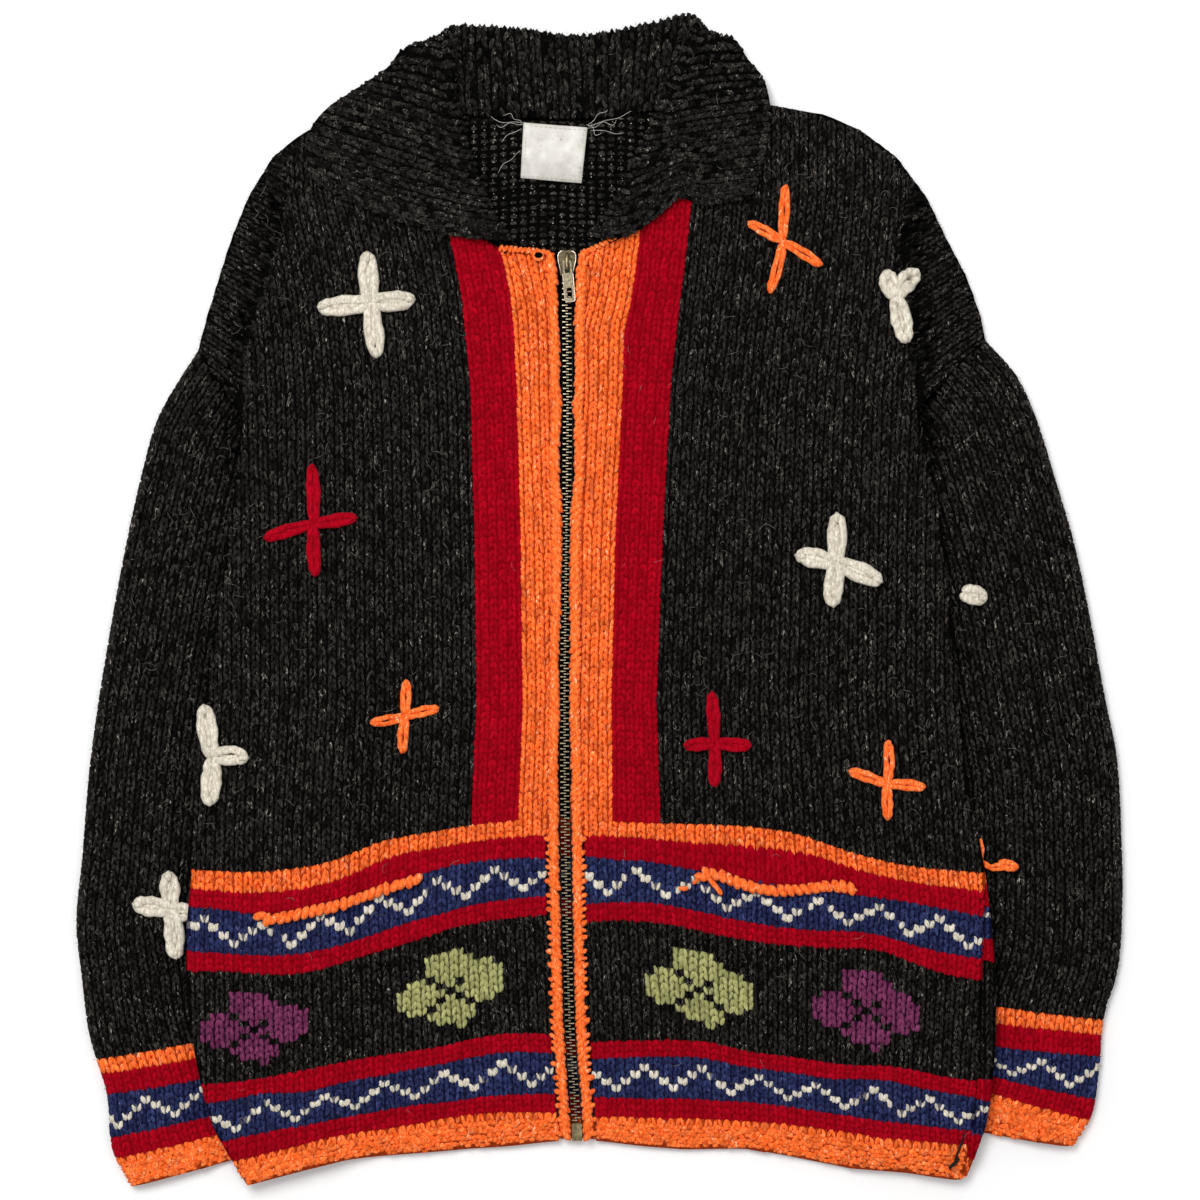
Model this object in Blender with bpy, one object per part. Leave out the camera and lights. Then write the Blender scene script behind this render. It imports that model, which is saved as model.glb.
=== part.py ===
"""Hand-knit zip cardigan laid flat, face up.

Millimetres are used inside this file and turned into metres when a mesh is made.
X runs across the garment, +Y towards the collar, +Z up off the surface it lies on.
Left and right are as seen from above, with the collar at the top.
"""

import math

import bmesh
import bpy
import numpy as np
from mathutils import Vector
from mathutils.bvhtree import BVHTree

MM = 0.001

# ---------------------------------------------------------------- driving sizes
WALL = 4.0            # knitted cloth of bulky yarn, mm
SEAM = 0.3            # gap between pieces that touch
SLEEVE_LIFT = 9.2     # rise of the body where a folded sleeve lies under it
FALL_LIFT = 5.2       # rise of the back where the collar's hidden fall lies under it
LIFT_RUN = 24.0       # how far a rise takes to die out
CREASE_RISE = 6.5     # overlap of the body along the armpit crease
FRONT_PUFF = 2.2      # soft air between the fronts and the back
SLEEVE_PUFF = 3.2     # soft air inside the part of a sleeve that shows
ZIP_ROOM = 2.1        # the fronts ride up on the zip tape
CHAIN_HALF = 2.95     # a number 5 chain is 5.9 mm wide
EDGE_IN = 3.9         # front edging, inner side from the zip's centre
EDGE_OUT = 12.8       # front edging, outer side
COLLAR_CORE = 3.0     # plain part of the ribbed collar's thickness
RIB_RISE = 1.7        # height of a rib over the plain part
COLLAR_RIBS = 49
YARN = 4.2            # embroidery yarn thickness

# ------------------------------------------------- outlines, each row named above it
# zip centre: height y, x
ZIP_LINE = [(-363, -15.1), (-342, -16.4), (-295, -19.8), (-235, -21.8), (-168, -23.1),
            (-67, -23.8), (33, -22.8), (134, -21.8), (208, -22.4), (240, -22.4)]
# folded sides of the body, up to the armpit: height y, x
SIDE_LEFT = [(-392, -236), (-372, -248), (-355, -257.5), (-312, -269.5), (-242, -277),
             (-175, -273), (-103, -269), (-54, -263), (-14, -257), (47, -248),
             (82, -243.5), (120, -239.5)]
SIDE_RIGHT = [(-389, 245), (-372, 251), (-355, 257), (-308, 263.6), (-258, 264.3),
              (-221, 262.3), (-182, 257.6), (-128, 247), (-61, 239.5), (6, 233.5),
              (58, 227.5), (94, 221), (126, 213)]
# armhole seam from the armpit crease to the end of the dropped shoulder: height y, x
ARMHOLE_LEFT = [(120, -239.5), (132, -246), (144, -254), (156, -262.5), (167, -270)]
ARMHOLE_RIGHT = [(126, 213), (136, 220), (148, 231), (160, 243.5), (174, 259)]
# how far the back shows past the right front along the side seam: height y, width
SEAM_STRIP = [(-389, 3.0), (-355, 8.5), (-308, 10.0), (-258, 9.0), (-221, 5.5), (-182, 0.0)]
# shoulder line out from the neck: x, height y
SHOULDER_LEFT = [(-270, 167), (-263.6, 190.6), (-255.6, 217.4), (-247, 244), (-236, 271),
                 (-219.4, 298), (-198, 314.6), (-167, 326.6), (-134, 330.6), (-112, 332.2)]
SHOULDER_RIGHT = [(64.5, 333.4), (81, 334), (114, 332.7), (151, 326), (174.5, 316),
                  (198.7, 298), (219, 271), (232, 244), (246, 217.4), (255.6, 190.6), (259, 174)]
# necklines: x, height y
NECK_BACK = [(-112, 332.2), (-107, 329.3), (-97, 325.2), (-67, 322), (-23, 321.2), (14, 323.2),
             (41, 327.8), (52, 330.6), (64.5, 333.4)]
NECK_LEFT = [(-112, 332.2), (-110, 311), (-107.6, 294), (-103.8, 277), (-97.6, 262),
             (-87.7, 249.8), (-75.2, 241.0), (-64, 234.2), (-34, 233.5)]
NECK_RIGHT = [(-10, 234.5), (0, 238.5), (14, 247.1), (27.4, 256), (41, 267.6), (52.8, 280),
              (58.9, 294.6), (61.6, 308), (63.2, 321), (64.5, 333.4)]
# hems: x, height y
HEM_LEFT = [(-236, -392), (-197, -381.6), (-170, -375.5), (-130, -372), (-63, -366.8), (-26, -363.5)]
HEM_RIGHT = [(-9, -363.5), (30, -366.8), (57, -369), (97, -368.5), (124, -373), (164, -381),
             (205, -384.2), (244, -388.5)]
# sleeves: outer fold and inner fold from armhole to cuff, x, height y
SLEEVE_OUT_LEFT = [(-270, 167), (-281, 150), (-296, 124), (-308, 83), (-317, 43), (-327, -10),
                   (-336, -64), (-342, -107), (-347.4, -171), (-351.4, -221), (-348, -252),
                   (-342.7, -292), (-331, -332), (-327, -370), (-315, -394)]
SLEEVE_IN_LEFT = [(-176, 0), (-187, -120), (-196, -240), (-200.7, -364)]
SLEEVE_OUT_RIGHT = [(259, 174), (280, 150), (292, 124), (305, 83), (317, 43), (328.6, -10),
                    (338.7, -64), (346.7, -104), (350, -160), (350.7, -201), (346.7, -252),
                    (338.7, -278), (334.7, -318), (330, -346), (318, -367.5)]
SLEEVE_IN_RIGHT = [(168, 0), (185, -120), (197, -240), (202, -349)]
# crease above each armpit where the body laps over the shoulder: height y, x
CREASE_LEFT = [(120, -239.5), (150, -238), (167, -237.5), (207, -226), (268, -211)]
CREASE_RIGHT = [(126, 213), (160, 211), (200, 208.5), (230, 202)]

# largest soft folds: x, y, direction in degrees, half length, half width, height
FOLDS = [
    (-170, -206, 12, 70, 24, 1.8),
    (112, -206, -4, 70, 24, 1.8),
    (-185, -320, 80, 60, 26, 1.0),
    (120, -345, 70, 50, 24, 1.2),
    (178, 90, 62, 70, 26, 1.4),
    (-186, 90, -64, 70, 26, 1.3),
    (-85, 40, 88, 130, 34, 0.9),
    (66, 60, 90, 130, 34, 0.9),
]
SLEEVE_FOLDS = [
    (-288, 60, 70, 45, 9, 1.4),
    (-318, -90, 82, 60, 10, 1.5),
    (-312, -225, 60, 34, 9, 1.5),
    (-300, -318, 30, 26, 8, 1.3),
    (272, 70, -66, 45, 9, 1.4),
    (305, -60, -80, 60, 10, 1.5),
    (318, -190, -70, 34, 9, 1.5),
    (300, -300, -20, 26, 8, 1.3),
]

# pocket slits along the bound-off edge: x, y
POCKET_LEFT = [(-229, -211), (-221, -216), (-190, -209), (-155, -200), (-120, -186)]
POCKET_RIGHT = [(71, -182), (81, -188), (120, -193), (148, -194), (172, -193.5)]

# embroidered crosses: name, panel, centre x and y, then a row per petal: tip x and y
CROSSES = [
    ("cross_cream_1", "front", (-153.8, 199.3),
     [(-155.8, 232), (-125, 201.5), (-188, 196), (-149.8, 163)]),
    ("cross_red_1", "front", (-191.3, 50.6),
     [(-192.6, 90), (-163, 55.3), (-223.4, 41.2), (-190.3, 16.4)]),
    ("cross_orange_1", "front", (122.3, 240.2),
     [(124.3, 277.7), (99.5, 253), (148.4, 224), (113.6, 206)]),
    ("cross_cream_2", "front", (197.3, 202.7), [(212.7, 220.8), (192, 219), (204, 172.5)]),
    ("cross_cream_3", "front", (157.8, 25.1),
     [(158.5, 57.3), (131.7, 30.5), (187.3, 12.4), (155.1, -21.1)]),
    ("cross_orange_2", "front", (-130.3, -78.1),
     [(-129.6, -53.9), (-108.2, -72.7), (-153.1, -82), (-132.3, -102.2)]),
    ("cross_cream_4", "front", (-256.5, -105.5), [(-264.5, -71), (-235.5, -105.5), (-258.5, -136.4)]),
    ("cross_red_2", "front", (76.7, -96.1),
     [(74.7, -62), (100.8, -97.5), (56.6, -97.5), (75.4, -124.3)]),
    ("cross_orange_3", "front", (191.3, -123),
     [(192, -94), (166.5, -114.2), (216.7, -125), (192, -146.4)]),
    ("cross_cream_5", "sleeve", (242.5, 4), [(258.5, 0.5)]),
    ("cross_orange_4", "sleeve", (267, -178), [(281, -180)]),
    ("cross_cream_6", "sleeve", (-287.8, -206.7),
     [(-289.1, -182.6), (-311.9, -203.4), (-283.5, -238.5)]),
]
PETAL_WIDTH = {"cream": 11.0, "red": 10.5, "orange": 8.5}

# collar stations, left end to right end. Columns: rib number, then x y z of the seam with
# the neckline, x y z of the roll, x y of the fall's bend, x y z of the cast-off edge,
# roll radius, lean of the roll (90 faces up over the front, -90 faces down behind the neck)
COLLAR = [
    (0.0, -64.0, 236.5, 9.0, -58.0, 239.5, 13.0, -116.0, 254.0, -189.5, 280.0, 0.0, 2.3, 90),
    (2.0, -74.5, 242.5, 9.0, -66.5, 249.0, 14.5, -122.0, 267.0, -195.0, 291.0, 0.0, 2.8, 90),
    (4.0, -86.5, 251.0, 9.0, -74.5, 264.5, 15.5, -130.0, 283.0, -196.5, 304.5, 0.0, 3.1, 90),
    (6.0, -96.0, 263.0, 9.0, -81.5, 280.0, 16.5, -134.0, 300.0, -193.0, 317.0, 0.0, 3.3, 90),
    (8.0, -102.0, 277.5, 9.5, -87.5, 297.0, 17.5, -135.0, 316.0, -182.0, 330.0, 0.0, 3.4, 86),
    (10.0, -106.0, 294.5, 10.5, -93.0, 316.0, 18.5, -132.0, 330.0, -168.0, 339.5, 0.0, 3.4, 76),
    (11.6, -108.0, 311.0, 11.5, -97.0, 334.5, 19.0, -127.0, 344.0, -154.0, 349.0, 4.6, 3.3, 60),
    (13.0, -108.6, 322.0, 12.0, -99.5, 354.0, 18.0, -121.0, 360.0, -141.0, 359.0, 7.5, 3.1, 36),
    (14.0, -106.6, 330.8, 11.0, -100.5, 370.0, 15.0, -118.0, 374.0, -132.5, 369.0, 5.4, 2.9, 8),
    (15.0, -100.5, 329.2, 9.3, -101.5, 380.0, 11.0, -116.0, 378.0, -125.0, 361.0, 3.3, 2.6, -24),
    (15.8, -95.5, 326.8, 7.8, -98.5, 384.0, 8.2, -112.0, 364.0, -115.0, 342.0, 3.3, 2.2, -58),
    (16.6, -89.5, 326.0, 7.0, -92.5, 385.0, 6.2, -99.0, 350.0, -101.0, 322.0, 3.3, 1.9, -80),
    (17.5, -81.5, 325.0, 6.9, -84.0, 384.5, 4.9, -84.0, 348.0, -84.0, 308.0, 3.3, 1.85, -90),
    (21.0, -48.0, 323.6, 6.9, -53.0, 382.5, 4.9, -51.0, 348.0, -50.0, 306.5, 3.3, 1.85, -90),
    (25.0, -15.0, 323.3, 6.9, -17.5, 378.0, 4.9, -16.5, 346.0, -16.0, 306.5, 3.3, 1.85, -90),
    (29.0, 17.0, 325.6, 6.9, 20.0, 383.5, 4.9, 18.0, 350.0, 17.0, 307.0, 3.3, 1.85, -90),
    (31.8, 38.5, 329.6, 6.9, 46.5, 389.5, 5.0, 42.0, 356.0, 39.0, 309.0, 3.3, 1.85, -90),
    (32.8, 46.5, 331.8, 7.4, 55.5, 392.0, 6.4, 55.0, 362.0, 54.0, 324.0, 3.3, 1.9, -80),
    (33.6, 53.5, 333.2, 8.2, 63.0, 391.5, 8.6, 68.0, 372.0, 69.0, 346.0, 3.3, 2.2, -58),
    (34.4, 59.0, 334.2, 9.8, 64.0, 386.0, 11.4, 76.0, 382.5, 81.0, 365.0, 3.3, 2.6, -24),
    (35.2, 61.8, 331.0, 11.5, 61.0, 377.0, 14.5, 77.0, 381.0, 89.0, 376.0, 5.4, 2.9, 8),
    (36.2, 61.5, 322.0, 12.0, 53.5, 362.0, 17.0, 77.0, 367.0, 98.5, 364.0, 7.5, 3.1, 36),
    (37.6, 60.0, 308.0, 11.5, 46.0, 345.5, 18.0, 79.0, 351.0, 108.0, 352.0, 4.6, 3.3, 60),
    (39.4, 57.5, 295.0, 10.5, 38.5, 326.0, 18.0, 79.0, 333.0, 113.0, 337.0, 0.0, 3.4, 76),
    (41.4, 51.5, 281.0, 9.5, 30.5, 307.5, 17.5, 73.0, 315.0, 114.5, 321.0, 0.0, 3.4, 86),
    (43.4, 40.0, 269.0, 9.0, 20.5, 290.0, 16.5, 66.0, 300.0, 112.5, 306.5, 0.0, 3.3, 90),
    (45.2, 26.5, 257.5, 9.0, 11.0, 272.0, 15.5, 58.0, 286.0, 109.5, 293.0, 0.0, 3.1, 90),
    (47.0, 13.0, 248.5, 9.0, 1.5, 256.5, 14.5, 48.0, 272.0, 106.0, 280.0, 0.0, 2.8, 90),
    (49.0, -1.0, 240.0, 9.0, -8.0, 243.5, 13.0, 36.0, 259.0, 100.0, 268.0, 0.0, 2.3, 90),
]
STAND_ROWS = 3
ROLL_ROWS = 4
FALL_ROWS = 5

# zip parts
SLIDER_Y = (217.5, 234.5)
PIVOT = (-22.2, 226.0, 10.95)
PULL_LEAN = math.radians(5.0)
PULL_LENGTH = 26.5

COLOURS = {
    "charcoal_knit": (0.022, 0.019, 0.017, 0.95),
    "collar_knit": (0.022, 0.019, 0.017, 0.95),
    "orange_knit": (0.85, 0.16, 0.035, 0.95),
    "cream_yarn": (0.75, 0.70, 0.58, 0.95),
    "red_yarn": (0.38, 0.002, 0.012, 0.95),
    "tape_weave": (0.02, 0.02, 0.02, 0.9),
    "label_satin": (0.78, 0.75, 0.66, 0.5),
    "antique_brass": (0.36, 0.28, 0.14, 0.35),
}


# ---------------------------------------------------------------- small helpers
def ease(low, high, value):
    """0 below low, 1 above high, smooth between them."""
    f = np.clip((np.asarray(value, float) - low) / (high - low), 0.0, 1.0)
    return f * f * (3.0 - 2.0 * f)


def glide(rows, at, column=1):
    """Smooth curve through the rows of a short table, read at the first column."""
    table = np.asarray(rows, float)
    xs = table[:, 0]
    ys = table[:, column]
    slopes = np.gradient(ys, xs)
    at = np.clip(np.asarray(at, float), xs[0], xs[-1])
    cell = np.clip(np.searchsorted(xs, at) - 1, 0, len(xs) - 2)
    run = xs[cell + 1] - xs[cell]
    f = (at - xs[cell]) / run
    h00 = (1 + 2 * f) * (1 - f) ** 2
    h10 = f * (1 - f) ** 2
    h01 = f * f * (3 - 2 * f)
    h11 = f * f * (f - 1)
    return h00 * ys[cell] + h10 * run * slopes[cell] + h01 * ys[cell + 1] + h11 * run * slopes[cell + 1]


def straight(rows, at):
    """Straight lines through the rows of a short table."""
    table = np.asarray(rows, float)
    return np.interp(at, table[:, 0], table[:, 1])


def along(points, fraction):
    """Point at a share of the length of a smooth line through the points."""
    pts = np.asarray(points, float)
    steps = np.linalg.norm(np.diff(pts, axis=0), axis=1)
    reach = np.concatenate(([0.0], np.cumsum(steps))) / steps.sum()
    axes = [glide(np.column_stack((reach, pts[:, i])), fraction) for i in range(pts.shape[1])]
    return np.stack(axes, axis=-1)


def distance_inside(polygon, x, y):
    """Distance to the polygon's edge, positive inside it."""
    poly = np.asarray(polygon, float)
    nxt = np.roll(poly, -1, axis=0)
    x = np.asarray(x, float)
    y = np.asarray(y, float)
    best = np.full(x.shape, 1e9)
    inside = np.zeros(x.shape, bool)
    for (ax, ay), (bx, by) in zip(poly, nxt):
        dx, dy = bx - ax, by - ay
        f = np.clip(((x - ax) * dx + (y - ay) * dy) / (dx * dx + dy * dy), 0, 1)
        best = np.minimum(best, np.hypot(x - ax - f * dx, y - ay - f * dy))
        if ay != by:
            cross = (ay > y) != (by > y)
            at = ax + (y - ay) * dx / dy
            inside ^= cross & (x < at)
    return np.where(inside, best, -best)


# ---------------------------------------------------------------- heights of the cloth
def hidden_sleeve(side):
    """Outline of the part of a sleeve that lies under the body."""
    if side < 0:
        body, inner = SIDE_LEFT, SLEEVE_IN_LEFT
        cuff = [(-252, -378), (-262, -376)]
    else:
        body, inner = SIDE_RIGHT, SLEEVE_IN_RIGHT
        cuff = [(256, -357), (268, -356)]
    pit_y, pit_x = body[-1]
    outer = [(x + side * 6, y) for y, x in body if cuff[0][1] < y < pit_y]
    return [(pit_x, pit_y)] + list(inner) + cuff + outer


HIDDEN_LEFT = hidden_sleeve(-1)
HIDDEN_RIGHT = hidden_sleeve(1)


def lift(x, y):
    """Rise of the body over the folded sleeves and over the collar's hidden fall."""
    x = np.asarray(x, float)
    y = np.asarray(y, float)
    sleeve = np.maximum(distance_inside(HIDDEN_LEFT, x, y), distance_inside(HIDDEN_RIGHT, x, y))
    over_sleeve = SLEEVE_LIFT * ease(-LIFT_RUN - 17.0, -17.0, sleeve)
    over_fall = FALL_LIFT * ease(274, 291, y) * ease(-142, -122, x) * (1 - ease(76, 96, x))
    return np.maximum(over_sleeve, over_fall)


def crease(x, y):
    """Lap of the body along the crease above each armpit."""
    x = np.asarray(x, float)
    y = np.asarray(y, float)
    total = np.zeros(x.shape)
    for rows, side in ((CREASE_LEFT, -1), (CREASE_RIGHT, 1)):
        low, high = rows[0][0], rows[-1][0]
        inward = (glide(rows, y) - x) * side
        rise = ease(high, low + 12, y) * ease(low - 40, low - 5, y)
        ridge = ease(-2.0, 4.0, inward) * (1 - ease(8.0, 62.0, inward))
        total = total + CREASE_RISE * rise * ridge
    return total


def folds(rows, x, y):
    """Sum of the soft folds in a table."""
    total = np.zeros(np.shape(x))
    for cx, cy, turn, long, wide, high in rows:
        c, s = math.cos(math.radians(turn)), math.sin(math.radians(turn))
        a = ((x - cx) * c + (y - cy) * s) / long
        b = ((y - cy) * c - (x - cx) * s) / wide
        total = total + high * np.exp(-a * a - b * b)
    return total


def zip_x(y):
    return glide(ZIP_LINE, y)


def side_x(side, y):
    """Outer edge of the body at a height, out along the armhole seam above the armpit."""
    body, arm = (SIDE_LEFT, ARMHOLE_LEFT) if side < 0 else (SIDE_RIGHT, ARMHOLE_RIGHT)
    y = np.asarray(y, float)
    return np.where(y <= body[-1][0], glide(body, y), straight(arm, y))


def front_side_x(side, y):
    """Outer edge of a front: the right one stops short of the back at the side seam."""
    edge = side_x(side, y)
    if side > 0:
        edge = edge - straight(SEAM_STRIP, y) * (np.asarray(y, float) < -182)
    return edge


def back_top(x, y):
    """Upper face of the back."""
    rise = np.maximum(lift(x, y), crease(x, y))
    return rise + WALL


def front_base(x, y):
    """Lower face of a front before its edges are rounded."""
    x = np.asarray(x, float)
    y = np.asarray(y, float)
    edge = np.abs(side_x(-1, y) - x)
    edge = np.minimum(edge, np.abs(side_x(1, y) - x))
    roof = np.where(x < -24, straight(SHOULDER_LEFT, x), straight(SHOULDER_RIGHT, x))
    hem = np.where(x < -18, straight(HEM_LEFT, x), straight(HEM_RIGHT, x))
    puff = FRONT_PUFF * ease(4, 60, edge) * ease(4, 55, roof - y) * ease(2, 45, y - hem)
    middle = np.abs(x - zip_x(y))
    room = ZIP_ROOM * (1 - ease(18, 46, middle)) * (y < 300)
    soft = np.clip(folds(FOLDS, x, y), -0.8, 3.0) * ease(2, 24, edge) * ease(2, 20, y - hem)
    rise = (back_top(x, y) - WALL) / SLEEVE_LIFT
    near_cuff = ease(-335, -355, y) * ease(110, 130, np.abs(x))
    ramp = np.clip(4 * rise * (1.15 - rise), 0, 1)
    slack = (1.3 + near_cuff) * ramp * np.maximum(ease(0, 12, edge), near_cuff)
    slack = np.maximum(slack, 0.9 * ease(1, 12, edge) * ease(1, 12, roof - y))
    lap = np.maximum(crease(x, y), np.maximum(crease(x + 10, y), crease(x - 10, y)))
    slack = np.maximum(slack, 0.9 * np.clip(lap, 0, 1))
    return back_top(x, y) + SEAM + np.maximum(np.maximum(puff, room) + soft, slack)


def front_top(x, y):
    return front_base(x, y) + WALL


def sleeve_air(side, x, y):
    """Height of the air inside a sleeve, only where the sleeve shows."""
    body = side_x(side, np.minimum(y, SIDE_LEFT[-1][0] if side < 0 else SIDE_RIGHT[-1][0]))
    out = (np.asarray(x, float) - body) * side
    seam = ease(0, 40, -distance_inside(HIDDEN_LEFT if side < 0 else HIDDEN_RIGHT, x, y))
    shows = ease(3, 26, out)
    extra = np.clip(folds(SLEEVE_FOLDS, x, y), 0, 2.0)
    return SEAM + (SLEEVE_PUFF * np.minimum(shows, 0.35 + 0.65 * seam) + extra) * shows


def tree_of(obj):
    """Search tree over a built piece's faces."""
    mesh = obj.data
    return BVHTree.FromPolygons([v.co for v in mesh.vertices], [tuple(f.vertices) for f in mesh.polygons])


def surface_height(tree, x, y):
    """Height of a built piece straight below a point, or none off its edge."""
    hit = tree.ray_cast(Vector((float(x) * MM, float(y) * MM, 0.2)), Vector((0, 0, -1)))
    return None if hit[0] is None else hit[0].z / MM


def highest(tree, x, y, reach):
    """Highest point of a built piece within a small reach of a point."""
    found = []
    for dx in (-reach, -reach / 2, 0, reach / 2, reach):
        for dy in (-reach, -reach / 2, 0, reach / 2, reach):
            height = surface_height(tree, x + dx, y + dy)
            if height is not None:
                found.append(height)
    return max(found) if found else 0.0


# ---------------------------------------------------------------- meshes
def material(name):
    red, green, blue, rough = COLOURS[name]
    mat = bpy.data.materials.get(name)
    if mat is None:
        mat = bpy.data.materials.new(name)
        mat.use_nodes = True
        shader = mat.node_tree.nodes["Principled BSDF"]
        shader.inputs["Base Color"].default_value = (red, green, blue, 1.0)
        shader.inputs["Roughness"].default_value = rough
        shader.inputs["Metallic"].default_value = 1.0 if name == "antique_brass" else 0.0
        mat.diffuse_color = (red, green, blue, 1.0)
    return mat


def make_object(name, points, faces, mat, smooth=True):
    mesh = bpy.data.meshes.new(name)
    mesh.from_pydata([tuple(float(c) * MM for c in p) for p in points], [], faces)
    work = bmesh.new()
    work.from_mesh(mesh)
    bmesh.ops.recalc_face_normals(work, faces=work.faces)
    if work.calc_volume(signed=True) < 0:
        bmesh.ops.reverse_faces(work, faces=work.faces)
    work.to_mesh(mesh)
    work.free()
    for face in mesh.polygons:
        face.use_smooth = smooth
    mesh.materials.append(material(mat))
    obj = bpy.data.objects.new(name, mesh)
    bpy.context.collection.objects.link(obj)
    return obj


def slab(name, upper, lower, mat):
    """Closed wall between two grids of points of the same shape."""
    rows, cols = upper.shape[:2]
    points = list(upper.reshape(-1, 3)) + list(lower.reshape(-1, 3))
    half = rows * cols
    faces = []
    for i in range(rows - 1):
        for j in range(cols - 1):
            a = i * cols + j
            faces.append((a, a + 1, a + cols + 1))
            faces.append((a, a + cols + 1, a + cols))
            faces.append((half + a, half + a + cols + 1, half + a + 1))
            faces.append((half + a, half + a + cols, half + a + cols + 1))
    rim = [j for j in range(cols)]
    rim += [i * cols + cols - 1 for i in range(1, rows)]
    rim += [(rows - 1) * cols + j for j in range(cols - 2, -1, -1)]
    rim += [i * cols for i in range(rows - 2, 0, -1)]
    for a, b in zip(rim, rim[1:] + rim[:1]):
        faces.append((a, half + a, half + b, b))
    return make_object(name, points, faces, mat)


def tube(name, rings, mat):
    """Closed body swept through rings of points."""
    count = len(rings[0])
    points = [p for ring in rings for p in ring]
    faces = []
    for i in range(len(rings) - 1):
        for j in range(count):
            a = i * count + j
            b = i * count + (j + 1) % count
            faces.append((a, b, b + count, a + count))
    faces.append(tuple(range(count - 1, -1, -1)))
    last = (len(rings) - 1) * count
    faces.append(tuple(range(last, last + count)))
    return make_object(name, points, faces, mat)


def sleeve_shell(name, outer, inner, mat):
    """Open tube with a wall, from rings of points outside and inside."""
    stations = len(outer)
    count = len(outer[0])
    points = [p for ring in outer for p in ring] + [p for ring in inner for p in ring]
    half = stations * count
    faces = []
    for i in range(stations - 1):
        for j in range(count):
            a = i * count + j
            b = i * count + (j + 1) % count
            faces.append((a, b, b + count))
            faces.append((a, b + count, a + count))
            faces.append((half + a, half + b + count, half + b))
            faces.append((half + a, half + a + count, half + b + count))
    for i in (0, stations - 1):
        for j in range(count):
            a = i * count + j
            b = i * count + (j + 1) % count
            faces.append((a, half + a, half + b, b))
    return make_object(name, points, faces, mat)


def settle(upper, lower, grounds):
    """Raise a wall's points where it would come too close to the pieces under it."""
    rows, cols = lower.shape[:2]
    flat = lower.reshape(-1, 3).copy()
    corners = []
    for i in range(rows - 1):
        for j in range(cols - 1):
            a = i * cols + j
            corners.append((a, a + 1, a + cols + 1))
            corners.append((a, a + cols + 1, a + cols))
    corners = np.array(corners)
    parts = 9
    shares = [(i, j, parts - i - j) for i in range(parts + 1) for j in range(parts + 1 - i)]
    shares = np.array(shares) / parts
    spots = np.einsum("sk,tkc->tsc", shares, flat[corners])
    needed = np.full(spots.shape[:2], -100.0)
    for t in range(spots.shape[0]):
        for s in range(spots.shape[1]):
            for ground in grounds:
                height = surface_height(ground, spots[t, s, 0], spots[t, s, 1])
                if height is not None:
                    needed[t, s] = max(needed[t, s], height + SEAM + 0.4)
    raised = flat[:, 2].copy()
    for _ in range(6):
        heights = np.einsum("sk,tk->ts", shares, raised[corners])
        lack = np.clip((needed - heights).max(axis=1), 0, None)
        if lack.max() < 0.02:
            break
        add = np.zeros(len(raised))
        for k in range(3):
            np.maximum.at(add, corners[:, k], lack)
        raised = raised + add
    change = (raised - flat[:, 2]).reshape(rows, cols)
    lower[..., 2] += change
    upper[..., 2] += change


# ---------------------------------------------------------------- body panels
def column_ends(x_of, top_of, hem_of, share):
    """Lowest and highest point of one column of stitches."""
    low = -375.0
    high = 250.0
    for _ in range(12):
        low = 0.5 * low + 0.5 * float(hem_of(x_of(share, low)))
        high = 0.5 * high + 0.5 * float(top_of(x_of(share, high)))
    return low, high


def panel_grid(x_of, top_of, hem_of, shares, steps):
    """Plan positions of a panel: one column per share, from hem to top."""
    grid = np.zeros((len(steps), len(shares), 2))
    for j, share in enumerate(shares):
        low, high = column_ends(x_of, top_of, hem_of, share)
        for i, step in enumerate(steps):
            y = low + (high - low) * step
            grid[i, j] = (float(x_of(share, y)), y)
    return grid


def rounded(distance, radius, drop):
    """Drop of a soft edge, full at the edge and none a radius inside it."""
    return drop * (1 - ease(0, radius, distance)) ** 2


STEPS = np.array([0, .0045, .018, .055, .1, .15, .2, .245, .285, .32, .37, .43, .5, .57, .64, .71,
                  .77, .82, .86, .9, .932, .958, .98, .9945, 1.0])
SHARES_LEFT = np.array([0, .06, .114, .17, .223, .266, .3, .3267, .4, .5, .6, .69, .77, .84, .9, .95,
                        .985, 1.0])
SHARES_RIGHT = np.array([0, .05, .086, .134, .187, .23, .258, .274, .36, .46, .56, .66, .75, .83, .9, .95,
                         .985, 1.0])
BACK_SHARES = np.array([-1, -.985, -.95, -.9, -.84, -.77, -.69, -.6, -.5, -.42, -.36, -.3, -.22, -.12, 0,
                        .14, .28, .34, .42, .5, .6, .69, .77, .84, .9, .95, .985, 1.0])


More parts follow.
